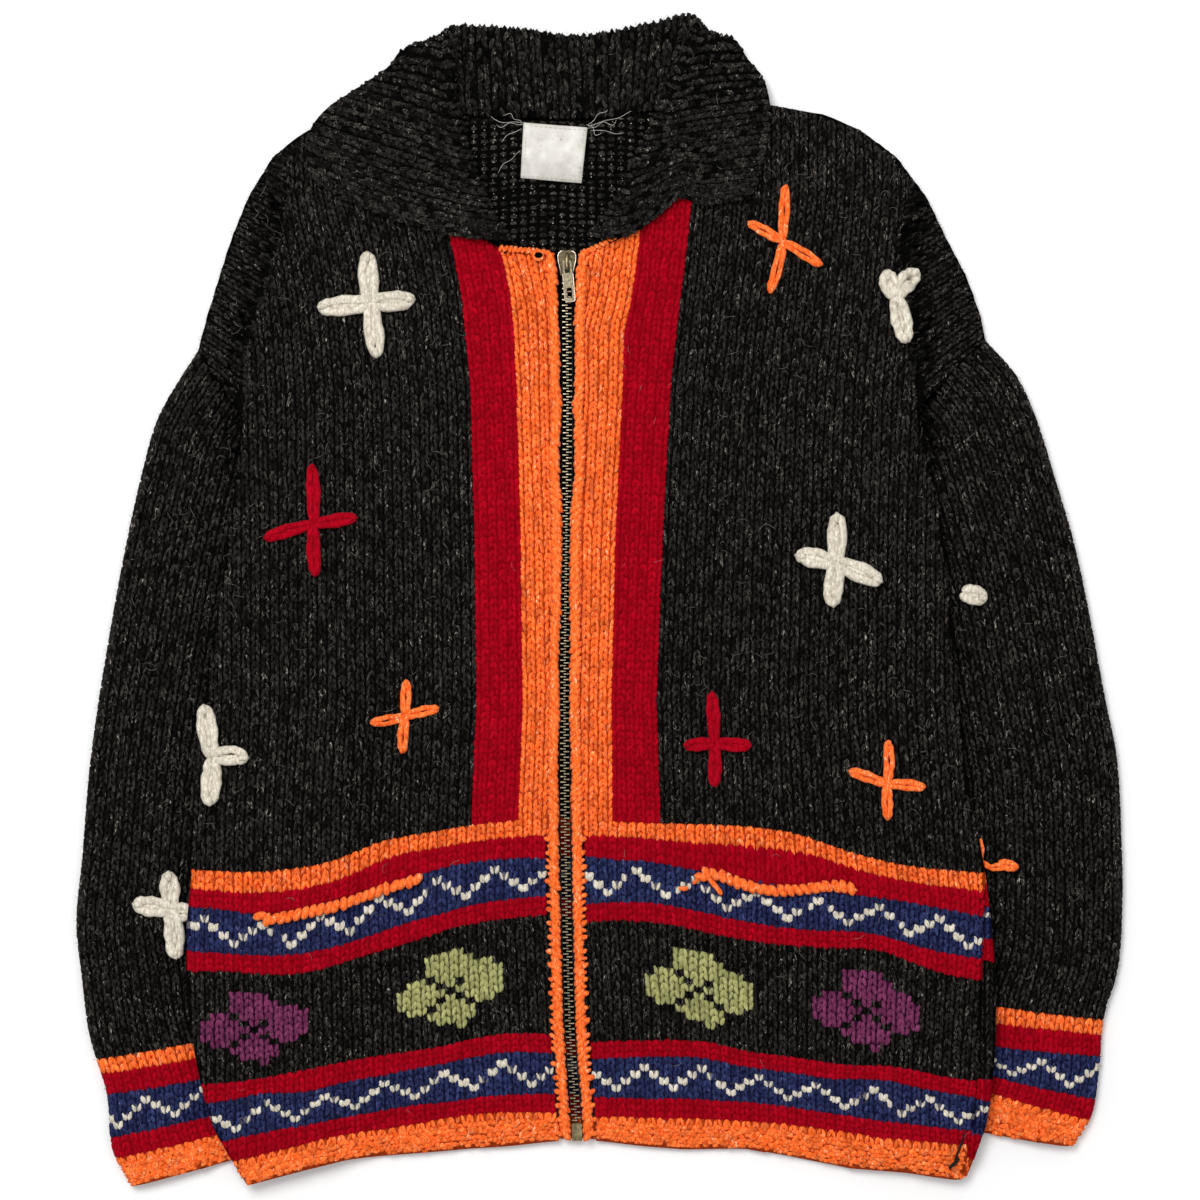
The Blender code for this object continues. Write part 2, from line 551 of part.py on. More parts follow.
def build_front(side, back):
    edge_out = EDGE_OUT + SEAM

    def x_of(share, y):
        inner = zip_x(y) + side * edge_out
        return inner + (front_side_x(side, y) - inner) * share

    def top_of(x):
        neck = NECK_LEFT if side < 0 else NECK_RIGHT
        shoulder = SHOULDER_LEFT if side < 0 else SHOULDER_RIGHT
        past = x < neck[0][0] if side < 0 else x > neck[-1][0]
        return straight(shoulder, x) if past else straight(neck, x)

    def hem_of(x):
        return straight(HEM_LEFT if side < 0 else HEM_RIGHT, x)

    plan = panel_grid(x_of, top_of, hem_of, SHARES_LEFT if side < 0 else SHARES_RIGHT, STEPS)
    x, y = plan[..., 0], plan[..., 1]
    base = front_base(x, y)
    top = base + WALL
    pit = 120.0 if side < 0 else 126.0
    from_side = np.abs(front_side_x(side, y) - x)
    free_side = 1 - ease(pit - 30, pit, y)
    drop = rounded(from_side, 6.0, 2.6) * np.maximum(free_side, ease(167, 180, y))
    hem_gap = y - straight(HEM_LEFT if side < 0 else HEM_RIGHT, x)
    drop = np.maximum(drop, rounded(hem_gap, 5.0, 2.0))
    roof = straight(SHOULDER_LEFT if side < 0 else SHOULDER_RIGHT, x)
    outside_neck = ease(6, 30, -x - 112) if side < 0 else ease(6, 30, x - 64.5)
    drop = np.maximum(drop, rounded(roof - y, 6.0, 2.6) * outside_neck)
    slit = pocket_distance(side, x, y)
    top = top - np.maximum(drop, 1.3 * np.exp(-(slit / 5.0) ** 2))
    upper = np.dstack((x, y, top))
    lower = np.dstack((x, y, base))
    settle(upper, lower, [back])
    name = "front_left" if side < 0 else "front_right"
    return slab(name, upper, lower, "charcoal_knit")


def pocket_distance(side, x, y):
    """Distance above a pocket's bound-off edge, large away from it."""
    rows = POCKET_LEFT if side < 0 else POCKET_RIGHT
    low, high = rows[0][0], rows[-1][0]
    gap = np.abs(y - straight(rows, x) - 6.0)
    beyond = np.maximum(low - x, 0) + np.maximum(x - high, 0)
    return gap + beyond


def build_back(sleeves):
    def x_of(share, y):
        middle = -22.0
        if share < 0:
            return middle + (side_x(-1, y) - middle) * -share
        strip = float(straight(SEAM_STRIP, y)) if y < -182 else 0.0
        if share == 0.985:
            return side_x(1, y) - np.interp(strip, (0, 3, 10), (4.0, 1.6, 5.0))
        if share == 0.95:
            return side_x(1, y) - np.interp(strip, (0, 3, 10), (13.0, 2.6, 9.6))
        return middle + (side_x(1, y) - middle) * share

    def top_of(x):
        if x < NECK_BACK[0][0]:
            return straight(SHOULDER_LEFT, x)
        if x > NECK_BACK[-1][0]:
            return straight(SHOULDER_RIGHT, x)
        return straight(NECK_BACK, x)

    def hem_of(x):
        return (straight(HEM_LEFT, x) if x < -18 else straight(HEM_RIGHT, x)) + 1.6

    plan = panel_grid(x_of, top_of, hem_of, BACK_SHARES, STEPS)
    x, y = plan[..., 0], plan[..., 1]
    top = back_top(x, y)
    base = top - WALL
    edge = np.minimum(np.abs(side_x(-1, y) - x), np.abs(side_x(1, y) - x))
    strip = straight(SEAM_STRIP, y) * (y < -182)
    wrap = 3.4 * ease(3.0, 5.0, strip) * (BACK_SHARES[None, :] > 0.97)
    free = np.maximum(1 - ease(90, 120, y), ease(170, 182, y))
    base = base + rounded(edge, 5.0, 1.6) * free + wrap
    top = top + wrap
    upper = np.dstack((x, y, top))
    lower = np.dstack((x, y, base))
    settle(upper, lower, sleeves)
    return slab("back", upper, lower, "charcoal_knit")


# ---------------------------------------------------------------- sleeves
SLEEVE_STATIONS = np.array([0, .014, .06, .12, .18, .25, .33, .42, .51, .6, .69, .77, .84, .9, .95,
                            .985, 1.0])


def sleeve_plan(side, station):
    """Outer fold point and inner fold point of a sleeve at a station."""
    outer = SLEEVE_OUT_LEFT if side < 0 else SLEEVE_OUT_RIGHT
    inner = SLEEVE_IN_LEFT if side < 0 else SLEEVE_IN_RIGHT
    return along(outer, station), along(inner, station)


def armhole_point(side, share):
    """Point on the sleeve's top edge, just off the body's armhole seam."""
    pit_in = SLEEVE_IN_LEFT[0] if side < 0 else SLEEVE_IN_RIGHT[0]
    arm = ARMHOLE_LEFT if side < 0 else ARMHOLE_RIGHT
    under_arm = (0.5 * (arm[0][1] + pit_in[0]) + side * 3, 0.5 * arm[0][0] + 4)
    line = [(x, y) for y, x in reversed(arm)] + [under_arm, pit_in]
    return along(line, share)


def build_sleeve(side):
    outer_rings = []
    inner_rings = []
    for k, station in enumerate(SLEEVE_STATIONS):
        start, end = sleeve_plan(side, station)
        width = float(np.linalg.norm(end - start))
        reach = np.array([0, 1.0, 3.4, 9.0, .14 * width, .24 * width, .35 * width, .47 * width,
                          .7 * width, width - 5.0, width - 1.2, width])
        blend = float(1 - ease(0.0, 0.16, station))
        rings = []
        for layer in (0, 1):
            if layer == 0:
                spots = reach
            else:
                spots = WALL + (width - 2 * WALL) * reach / width
            share = spots / width
            line = start[None, :] + (end - start)[None, :] * share[:, None]
            if blend > 0:
                seam = np.array([armhole_point(side, s) for s in share])
                first = np.array([sleeve_plan(side, 0.0)[0], sleeve_plan(side, 0.0)[1]])
                chord = first[0][None, :] + (first[1] - first[0])[None, :] * share[:, None]
                line = line + (seam - chord) * blend
                line = line + np.array([side * 0.12, -0.75]) * blend
            x, y = line[:, 0], line[:, 1]
            air = sleeve_air(side, x, y)
            full = WALL + air + WALL
            if layer == 0:
                nose = np.clip(spots / 9.0, 0, 1)
                tail = np.clip((width - spots) / 5.0, 0, 1)
                bulge = np.sqrt(1 - (1 - nose) ** 2) * np.sqrt(1 - (1 - tail) ** 2)
                middle = 0.5 * full
                top = middle + (full - middle) * bulge
                low_nose = np.clip(spots / 6.0, 0, 1)
                low_bulge = np.sqrt(1 - (1 - low_nose) ** 2) * np.sqrt(1 - (1 - tail) ** 2)
                bottom = middle - middle * low_bulge
            else:
                gap = air.copy()
                gap[0] = min(gap[0], 1.0)
                gap[1] = min(gap[1], 2.0)
                top = WALL + gap
                bottom = np.full(x.shape, WALL)
            over = np.column_stack((x, y, top))
            under = np.column_stack((x, y, bottom))
            ring = list(over) + list(under[-2:0:-1])
            if layer == 0:
                ring[0] = np.array([x[0], y[0], 0.5 * full[0]])
                ring[len(x) - 1] = np.array([x[-1], y[-1], 0.5 * full[-1]])
            else:
                ring[0] = np.array([x[0], y[0], 0.5 * (top[0] + bottom[0])])
                ring[len(x) - 1] = np.array([x[-1], y[-1], 0.5 * (top[-1] + bottom[-1])])
            rings.append(ring)
        outer_rings.append(rings[0])
        inner_rings.append(rings[1])
    name = "sleeve_left" if side < 0 else "sleeve_right"
    return sleeve_shell(name, outer_rings, inner_rings, "charcoal_knit")


# ---------------------------------------------------------------- collar
def support(fronts, x, y):
    """Height of what the collar's fall rests on: a front, or the floor past the shoulder."""
    roof = float(straight(SHOULDER_LEFT, x) if x < -24 else straight(SHOULDER_RIGHT, x))
    built = highest(fronts[-1 if x < -22 else 1], x, y, 6.0)
    smooth = float(front_top(x, min(y, roof))) * float(1 - ease(4, 36, y - roof))
    return max(built, smooth)


def under_stand(x, y):
    """Lowest height for the collar's stand so that its ribs clear the back."""
    return float(max(back_top(x, y), back_top(x, y + 9))) + SEAM + COLLAR_CORE / 2 + RIB_RISE + 0.7


def collar_rows(stations, fronts):
    """Middle surface of the collar: a row across the strip for each station."""
    read = [glide(COLLAR, stations, c) for c in range(1, 14)]
    nx, ny, nz, rx, ry, rz, bx, by, ox, oy, oz, rho, lean = read
    surface = np.zeros((len(stations), STAND_ROWS + ROLL_ROWS + FALL_ROWS + 1, 3))
    for k in range(len(stations)):
        neck = np.array([nx[k], ny[k], nz[k]])
        if lean[k] > 20:
            neck[2] = max(nz[k] - 0.6, under_stand(nx[k], ny[k]))
        roll = np.array([rx[k], ry[k], rz[k]])
        edge = np.array([ox[k], oy[k], rz[k] + (oz[k] - rz[k]) * float(1 - ease(20, 70, lean[k]))])
        outward = np.array([-1.0 if rx[k] < -20 else 1.0, 0.12, 0.0])
        tilt = math.radians(lean[k])
        across = outward / np.linalg.norm(outward) * math.cos(tilt) + np.array([0, 0, math.sin(tilt)])
        forward = 2 * roll - neck - edge
        forward = forward - across * forward.dot(across)
        forward = forward / np.linalg.norm(forward)
        size = rho[k]
        centre = roll - forward * size
        first = centre - across * size
        last = centre + across * size
        row = []
        for i in range(STAND_ROWS):
            f = i / STAND_ROWS
            spot = neck + (first - neck) * f
            if lean[k] > 20:
                spot[2] = max(spot[2], under_stand(spot[0], spot[1]))
            row.append(spot)
        for i in range(ROLL_ROWS + 1):
            turn = math.pi * i / ROLL_ROWS
            row.append(centre - across * size * math.cos(turn) + forward * size * math.sin(turn))
        for i in range(1, FALL_ROWS + 1):
            f = i / FALL_ROWS
            bend = np.array([bx[k], by[k]])
            plan = last[:2] * (1 - f) ** 2 + 2 * bend * f * (1 - f) + edge[:2] * f * f
            hanging = last[2] + (oz[k] - last[2]) * float(ease(-0.15, 0.6, f))
            height = hanging
            weight = float(ease(15, 60, lean[k]))
            if weight > 0:
                rest = support(fronts, plan[0], plan[1]) + 1.2 + COLLAR_CORE / 2
                lying = max(last[2] + (rest - last[2]) * float(ease(0, 0.75, f)), rest)
                height = max(hanging, rest) * (1 - weight) + lying * weight
            row.append(np.array([plan[0], plan[1], height]))
        surface[k] = np.array(row)
    return surface


def build_collar(fronts):
    samples = COLLAR_RIBS * 2 + 1
    stations = np.linspace(0, COLLAR_RIBS, samples)
    middle = collar_rows(stations, fronts)
    along_s = np.gradient(middle, axis=0)
    along_v = np.gradient(middle, axis=1)
    normal = np.cross(along_s, along_v)
    normal = normal / np.linalg.norm(normal, axis=2)[..., None]
    ridge = np.where(np.arange(samples) % 2 == 1, 1.0, 0.0)[:, None, None]
    ribbed = middle + normal * (COLLAR_CORE / 2 + RIB_RISE * ridge)
    plain = middle - normal * (COLLAR_CORE / 2)
    ribbed[..., 2] = np.maximum(ribbed[..., 2], 0.05)
    return slab("collar", ribbed, plain, "collar_knit")


# ---------------------------------------------------------------- trims
def cord(name, path, half_width, height, mat, taper=0.6):
    """Flat-bottomed rounded cord along a path of x, y, z points."""
    path = np.asarray(path, float)
    direction = np.gradient(path, axis=0)
    across = np.column_stack((-direction[:, 1], direction[:, 0]))
    across = across / np.linalg.norm(across, axis=1)[:, None]
    shape = [(-1.0, 0.0), (-1.0, 0.45), (-0.55, 0.9), (0.0, 1.0), (0.55, 0.9), (1.0, 0.45), (1.0, 0.0)]
    rings = []
    for k, (point, side) in enumerate(zip(path, across)):
        end = taper if k in (0, len(path) - 1) else 1.0
        wide = np.broadcast_to(half_width, len(path))[k] * end
        rings.append([np.array([point[0] + side[0] * a * wide, point[1] + side[1] * a * wide,
                                point[2] + b * height * end]) for a, b in shape])
    return tube(name, rings, mat)


def build_pocket_edge(side, front):
    rows = POCKET_LEFT if side < 0 else POCKET_RIGHT
    spots = np.linspace(0, 1, 9)
    plan = np.array([along(rows, s) for s in spots])
    base = np.array([highest(front, x, y, 6.0) for x, y in plan]) + SEAM
    path = np.column_stack((plan, base))
    name = "pocket_edge_left" if side < 0 else "pocket_edge_right"
    return cord(name, path, 3.3, 4.0, "orange_knit")


def build_front_edge(side):
    ys = np.concatenate((np.linspace(-361.5, 203, 15), np.linspace(210, 235.5, 4)))
    spread = 3.3 * ease(203, 216, ys)
    inner = EDGE_IN + spread
    centre = zip_x(ys) + side * 0.5 * (inner + EDGE_OUT)
    half = 0.5 * (EDGE_OUT - inner)
    base = front_base(zip_x(ys) + side * (EDGE_OUT + 1), ys)
    path = np.column_stack((centre, ys, np.maximum(base, 6.8)))
    name = "front_edge_left" if side < 0 else "front_edge_right"
    return cord(name, path, half, 3.3, "orange_knit", taper=0.9)


def build_tape(side):
    ys = np.linspace(-350, 233, 13)
    inner = zip_x(ys) + side * (CHAIN_HALF + SEAM)
    outer = zip_x(ys) + side * 15.0
    upper = np.zeros((len(ys), 2, 3))
    lower = np.zeros((len(ys), 2, 3))
    for i in range(len(ys)):
        y = ys[i]
        pair = sorted((float(inner[i]), float(outer[i])))
        for j in (0, 1):
            upper[i, j] = (pair[j], y, 5.9)
            lower[i, j] = (pair[j], y, 5.1)
    name = "zip_tape_left" if side < 0 else "zip_tape_right"
    return slab(name, upper, lower, "tape_weave")


def build_chain():
    ys = np.linspace(-350.4, 216.8, 15)
    rings = []
    for y in ys:
        x = float(zip_x(y))
        rings.append([np.array([x + dx, y, z]) for dx, z in
                      ((-CHAIN_HALF, 4.9), (-CHAIN_HALF, 6.9), (-1.9, 7.6), (1.9, 7.6),
                       (CHAIN_HALF, 6.9), (CHAIN_HALF, 4.9))])
    return tube("zip_chain", rings, "antique_brass")


def prism(outline, low, high):
    """Points and faces of an upright prism."""
    count = len(outline)
    points = [(x, y, low) for x, y in outline] + [(x, y, high) for x, y in outline]
    faces = [tuple(range(count - 1, -1, -1)), tuple(range(count, 2 * count))]
    for i in range(count):
        j = (i + 1) % count
        faces.append((i, j, count + j, count + i))
    return points, faces


def build_box():
    x = float(zip_x(-357.0))
    outline = [(x - 3.4, -362.8), (x + 3.4, -362.8), (x + 3.4, -352.0), (x + 2.6, -350.9),
               (x - 2.6, -350.9), (x - 3.4, -352.0)]
    points, faces = prism(outline, 4.6, 8.1)
    return make_object("zip_box", points, faces, "antique_brass", smooth=False)


def join_solids(name, blocks, mat):
    """Exact union of overlapping blocks into one body."""
    base = None
    for k, (points, faces) in enumerate(blocks):
        obj = make_object(name if k == 0 else name + "_block", points, faces, mat, smooth=False)
        if base is None:
            base = obj
            continue
        step = base.modifiers.new("join", "BOOLEAN")
        step.operation = "UNION"
        step.solver = "EXACT"
        step.object = obj
        bpy.context.view_layer.update()
        graph = bpy.context.evaluated_depsgraph_get()
        mesh = bpy.data.meshes.new_from_object(base.evaluated_get(graph))
        base.modifiers.clear()
        base.data = mesh
        bpy.data.objects.remove(obj)
    return base


def turned(points, origin, angle):
    """Points turned in plan about an origin."""
    c, s = math.cos(angle), math.sin(angle)
    out = []
    for x, y, z in points:
        dx, dy = x - origin[0], y - origin[1]
        out.append((origin[0] + dx * c - dy * s, origin[1] + dx * s + dy * c, z))
    return out


def build_slider():
    cx = PIVOT[0]
    low_y, high_y = SLIDER_Y
    plate = [(-4.3, low_y), (4.3, low_y), (4.6, low_y + 5), (6.2, low_y + 10), (6.3, high_y - 3.0),
             (4.6, high_y), (-4.6, high_y), (-6.3, high_y - 3.0), (-6.2, low_y + 10), (-4.6, low_y + 5)]
    plate = [(cx + x, y) for x, y in plate]
    thin = [(cx + x * 0.9, y) for x, y in
            [(-4.3, low_y + 0.4), (4.3, low_y + 0.4), (6.0, high_y - 4.0), (4.4, high_y - 0.6),
             (-4.4, high_y - 0.6), (-6.0, high_y - 4.0)]]
    post = [(cx + x, y) for x, y in [(0, low_y + 7.5), (1.9, low_y + 12), (1.6, high_y - 1.2),
                                     (-1.6, high_y - 1.2), (-1.9, low_y + 12)]]
    arch_side = [(219.6, 8.9), (219.6, 12.6), (221.2, 14.0), (230.6, 14.0), (232.2, 12.6), (232.2, 8.9),
                 (230.9, 8.9), (230.9, 12.2), (230.2, 12.8), (221.6, 12.8), (220.9, 12.2), (220.9, 8.9)]
    half = 0.85
    arch_points = [(cx - half, y, z) for y, z in arch_side] + [(cx + half, y, z) for y, z in arch_side]
    count = len(arch_side)
    arch_faces = [tuple(range(count)), tuple(range(2 * count - 1, count - 1, -1))]
    arch_faces += [(i, count + i, count + (i + 1) % count, (i + 1) % count) for i in range(count)]
    blocks = [prism(plate, 8.0, 9.2), prism(thin, 4.35, 4.75), prism(post, 4.5, 8.4),
              (arch_points, arch_faces)]
    return join_solids("zip_slider", blocks, "antique_brass")


def build_pull():
    cx, cy, cz = PIVOT
    half_thick = 0.65
    far = -PULL_LENGTH
    ring = [(-2.9, 0.9), (-2.2, 1.5), (2.2, 1.5), (2.9, 0.9), (3.1, -5.6), (3.7, -8.4), (3.7, far + 1.2),
            (2.7, far), (-2.7, far), (-3.7, far + 1.2), (-3.7, -8.4), (-3.1, -5.6)]
    eye = [(-1.8, -0.75), (1.8, -0.75), (1.8, -7.0), (-1.8, -7.0)]
    window = [(-1.7, far + 9.5), (1.7, far + 9.5), (1.7, far + 2.6), (-1.7, far + 2.6)]
    mesh = bmesh.new()
    loops = []
    for outline in (ring, eye, window):
        verts = [mesh.verts.new((x, y, 0)) for x, y in outline]
        loops.append([mesh.edges.new((verts[i], verts[(i + 1) % len(verts)])) for i in range(len(verts))])
    bmesh.ops.triangle_fill(mesh, use_beauty=True, edges=[e for loop in loops for e in loop])
    flat = [tuple(v.co) for v in mesh.verts]
    mesh.verts.ensure_lookup_table()
    mesh.verts.index_update()
    faces = [tuple(v.index for v in f.verts) for f in mesh.faces]
    rims = [(e.verts[0].index, e.verts[1].index) for loop in loops for e in loop]
    mesh.free()
    count = len(flat)
    points = [(cx + x, cy + y, cz + half_thick) for x, y, _ in flat]
    points += [(cx + x, cy + y, cz - half_thick) for x, y, _ in flat]
    solid = list(faces) + [tuple(count + i for i in reversed(f)) for f in faces]
    solid += [(a, b, count + b, count + a) for a, b in rims]
    points = turned(points, (cx, cy), PULL_LEAN)
    return make_object("zip_pull", points, solid, "antique_brass", smooth=False)


def build_label(back):
    corners = np.array([[-53.0, 281.5], [-12.4, 279.0], [-8.6, 317.0], [-51.3, 318.6]])
    rows, cols = 5, 6
    upper = np.zeros((rows, cols, 3))
    for i in range(rows):
        for j in range(cols):
            a, b = j / (cols - 1), i / (rows - 1)
            plan = (corners[0] * (1 - a) * (1 - b) + corners[1] * a * (1 - b) + corners[2] * a * b
                    + corners[3] * (1 - a) * b)
            upper[i, j] = (plan[0], plan[1], highest(back, plan[0], plan[1], 6.0) + SEAM + 1.0)
    lower = upper - np.array([0, 0, 1.0])
    return slab("label", upper, lower, "label_satin")


def build_cross(name, ground, centre, tips):
    """Embroidered cross: a low petal for each loop, joined at the centre."""
    colour = name.split("_")[1]
    half = PETAL_WIDTH[colour] / 2
    centre = np.array(centre, float)
    tips = sorted((np.array(t, float) - centre for t in tips), key=lambda t: math.atan2(t[1], t[0]))
    outline = []
    ridge = []
    for k, tip in enumerate(tips):
        length = np.linalg.norm(tip)
        way = tip / length
        side = np.array([-way[1], way[0]])
        outline += [centre + way * length * 0.55 - side * half,
                    centre + way * length * 0.93 - side * half * 0.62,
                    centre + way * length,
                    centre + way * length * 0.93 + side * half * 0.62,
                    centre + way * length * 0.55 + side * half]
        after = tips[(k + 1) % len(tips)]
        between = way + after / np.linalg.norm(after)
        if len(tips) == 1 or np.linalg.norm(between) < 0.5:
            between = np.array([-way[1], way[0]]) - way * 0.6
        elif way[0] * after[1] - way[1] * after[0] < 0:
            between = -between
        outline.append(centre + between / np.linalg.norm(between) * 2.6)
        if len(tips) == 1:
            outline.append(centre - way * 1.8 - side * 2.0)
        ridge.append(way)
    plan = np.array(outline)
    shrink = centre + (plan - centre) * 0.8
    edge_z = np.array([highest(ground, x, y, 10.0) for x, y in plan]) + SEAM + 0.5
    middle_z = highest(ground, centre[0], centre[1], 8.0) + SEAM + 0.5
    count = len(plan)
    points = [(p[0], p[1], z) for p, z in zip(plan, edge_z)]
    points += [(p[0], p[1], z + YARN * 0.45) for p, z in zip(plan, edge_z)]
    points += [(p[0], p[1], z + YARN * 0.85) for p, z in zip(shrink, edge_z)]
    points += [(centre[0], centre[1], middle_z + YARN * 0.7), (centre[0], centre[1], middle_z)]
    top, bottom = 3 * count, 3 * count + 1
    faces = []
    for i in range(count):
        j = (i + 1) % count
        faces.append((i, j, count + j, count + i))
        faces.append((count + i, count + j, 2 * count + j, 2 * count + i))
        faces.append((2 * count + i, 2 * count + j, top))
        faces.append((j, i, bottom))
    return make_object(name, points, faces, colour + "_yarn" if colour != "orange" else "orange_knit")


# ---------------------------------------------------------------- build
def centre_on_floor(objects):
    """Move all the points so that the garment's box stands centred on the origin."""
    corners = np.array([tuple(v.co) for o in objects for v in o.data.vertices])
    low, high = corners.min(axis=0), corners.max(axis=0)
    shift = Vector((-(low[0] + high[0]) / 2, -(low[1] + high[1]) / 2, -low[2]))
    for obj in objects:
        for vertex in obj.data.vertices:
            vertex.co += shift
    return shift


def main():
    for obj in list(bpy.data.objects):
        bpy.data.objects.remove(obj)
    built = [build_sleeve(side) for side in (-1, 1)]
    ground = {("sleeve", side): tree_of(sleeve) for side, sleeve in zip((-1, 1), built)}
    back = build_back([ground["sleeve", side] for side in (-1, 1)])
    built.append(back)
    for side in (-1, 1):
        front = build_front(side, tree_of(back))
        ground["front", side] = tree_of(front)
        built.append(front)
        built.append(build_pocket_edge(side, ground["front", side]))
        built.append(build_front_edge(side))
        built.append(build_tape(side))
    built.append(build_collar({side: ground["front", side] for side in (-1, 1)}))
    built.append(build_chain())
    built.append(build_box())
    built.append(build_slider())
    pull = build_pull()
    built.append(pull)
    built.append(build_label(tree_of(back)))
    for name, panel, centre, tips in CROSSES:
        side = -1 if centre[0] < -22 else 1
        built.append(build_cross(name, ground[panel, side], centre, tips))
    shift = centre_on_floor(built)
    pivot = Vector([c * MM for c in PIVOT]) + shift
    for vertex in pull.data.vertices:
        vertex.co -= pivot
    pull.location = pivot


main()
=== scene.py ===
"""Looks of a hand-knit zip cardigan laid flat, face up.

Every knitted panel is a thin shell with its stitches laid on it one by one: two legs a
stitch, placed by column (wale) and row (course), in the colour that the chart names.
Millimetres are used inside this file, in the row frame; meshes are made in metres.
Photograph positions are given in pixels of the 1200 x 1200 frame.
"""

import math

import bpy
import numpy as np
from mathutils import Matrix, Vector
from mathutils.bvhtree import BVHTree


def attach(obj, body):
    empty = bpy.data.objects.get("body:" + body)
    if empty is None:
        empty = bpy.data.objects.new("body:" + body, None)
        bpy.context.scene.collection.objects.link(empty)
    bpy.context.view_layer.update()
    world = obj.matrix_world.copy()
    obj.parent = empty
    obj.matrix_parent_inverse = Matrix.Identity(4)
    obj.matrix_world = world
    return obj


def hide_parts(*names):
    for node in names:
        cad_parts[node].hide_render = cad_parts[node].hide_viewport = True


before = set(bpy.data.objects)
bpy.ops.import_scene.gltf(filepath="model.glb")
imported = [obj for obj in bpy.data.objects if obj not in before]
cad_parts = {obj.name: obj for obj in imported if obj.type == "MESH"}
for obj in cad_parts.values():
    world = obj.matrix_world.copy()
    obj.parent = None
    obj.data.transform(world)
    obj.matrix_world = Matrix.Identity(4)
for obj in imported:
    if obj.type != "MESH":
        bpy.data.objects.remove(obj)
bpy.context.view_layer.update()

MM = 0.001
SCALE = 0.67                    # millimetres a pixel
PX_ZERO = (599.0, 598.91)       # the pixel over the frame's origin
SHIFT = np.array([0.335, -0.394])  # from the pattern's own zero to the row frame
RNG = np.random.default_rng(11)

WALE = 6.57                     # width of a stitch
SLEEVE_COURSE = 4.72            # nominal height of a sleeve's row; SLEEVE_ROWS holds the real one
WALL = 4.0                      # thickness of the cloth
FLOOR = 0.02                    # lowest height of a stitch
MIDDLE_X = -22.0                # the zip's place across the pattern

# ---------------------------------------------------------------- pattern outlines, mm
ZIP_LINE = [(-363, -15.1), (-342, -16.4), (-295, -19.8), (-235, -21.8), (-168, -23.1),
            (-67, -23.8), (33, -22.8), (134, -21.8), (208, -22.4), (240, -22.4)]
SIDE = {
    -1: [(-392, -236), (-372, -248), (-355, -257.5), (-312, -269.5), (-242, -277), (-175, -273),
         (-103, -269), (-54, -263), (-14, -257), (47, -248), (82, -243.5), (120, -239.5)],
    1: [(-389, 245), (-372, 251), (-355, 257), (-308, 263.6), (-258, 264.3), (-221, 262.3),
         (-182, 257.6), (-128, 247), (-61, 239.5), (6, 233.5), (58, 227.5), (94, 221), (126, 213)],
}
ARMHOLE = {
    -1: [(120, -239.5), (132, -246), (144, -254), (156, -262.5), (167, -270)],
    1: [(126, 213), (136, 220), (148, 231), (160, 243.5), (174, 259)],
}
# width of the strip of back seen beside the right front: height, then width
SEAM_STRIP = [(-389, 3.0), (-355, 8.5), (-308, 10.0), (-258, 9.0), (-221, 5.5), (-182, 0.0)]
SHOULDER = {
    -1: [(-270, 167), (-263.6, 190.6), (-255.6, 217.4), (-247, 244), (-236, 271), (-219.4, 298),
         (-198, 314.6), (-167, 326.6), (-134, 330.6), (-112, 332.2)],
    1: [(64.5, 333.4), (81, 334), (114, 332.7), (151, 326), (174.5, 316), (198.7, 298), (219, 271),
         (232, 244), (246, 217.4), (255.6, 190.6), (259, 174)],
}
NECK_BACK = [(-112, 332.2), (-107, 329.3), (-97, 325.2), (-67, 322), (-23, 321.2), (14, 323.2),
             (41, 327.8), (52, 330.6), (64.5, 333.4)]
NECK = {
    -1: [(-112, 332.2), (-110, 311), (-107.6, 294), (-103.8, 277), (-97.6, 262), (-87.7, 249.8),
         (-75.2, 241.0), (-64, 234.2), (-34, 233.5)],
    1: [(-10, 234.5), (0, 238.5), (14, 247.1), (27.4, 256), (41, 267.6), (52.8, 280), (58.9, 294.6),
         (61.6, 308), (63.2, 321), (64.5, 333.4)],
}
CREASE = {
    -1: [(120, -239.5), (150, -238), (167, -237.5), (207, -226), (268, -211), (303.7, -212)],
    1: [(126, 213), (160, 211), (200, 208.5), (230, 202), (283, 210)],
}
# where the wales of each shoulder end turn about, in pixels
FAN = {-1: (10, 660), 1: (1175, 660)}
HEM = {
    -1: [(-236, -392), (-197, -381.6), (-170, -375.5), (-130, -372), (-63, -366.8), (-26, -363.5)],
    1: [(-9, -363.5), (30, -366.8), (57, -369), (97, -368.5), (124, -373), (164, -381), (205, -384.2),
         (244, -388.5)],
}
SLEEVE_OUT = {
    -1: [(-270, 167), (-281, 150), (-296, 124), (-308, 83), (-317, 43), (-327, -10), (-336, -64),
         (-342, -107), (-347.4, -171), (-351.4, -221), (-348, -252), (-342.7, -292), (-331, -332),
         (-327, -370), (-315, -394)],
    1: [(259, 174), (280, 150), (292, 124), (305, 83), (317, 43), (328.6, -10), (338.7, -64),
         (346.7, -104), (350, -160), (350.7, -201), (346.7, -252), (338.7, -278), (334.7, -318),
         (330, -346), (318, -367.5)],
}
SLEEVE_IN = {
    -1: [(-176, 0), (-187, -120), (-196, -240), (-200.7, -364)],
    1: [(168, 0), (185, -120), (197, -240), (202, -349)],
}
# the bound-off rope of each pocket, in pixels
POCKET_ROPES = {
    -1: [(258, 912), (267, 918), (288, 915), (314, 909), (339, 904), (365, 895), (391, 886),
         (414, 880), (421, 876)],
    1: [(697, 879), (706, 872), (721, 875), (737, 882), (758, 888), (774, 890), (800, 889),
        (826, 885), (842, 885), (856, 889)],
}
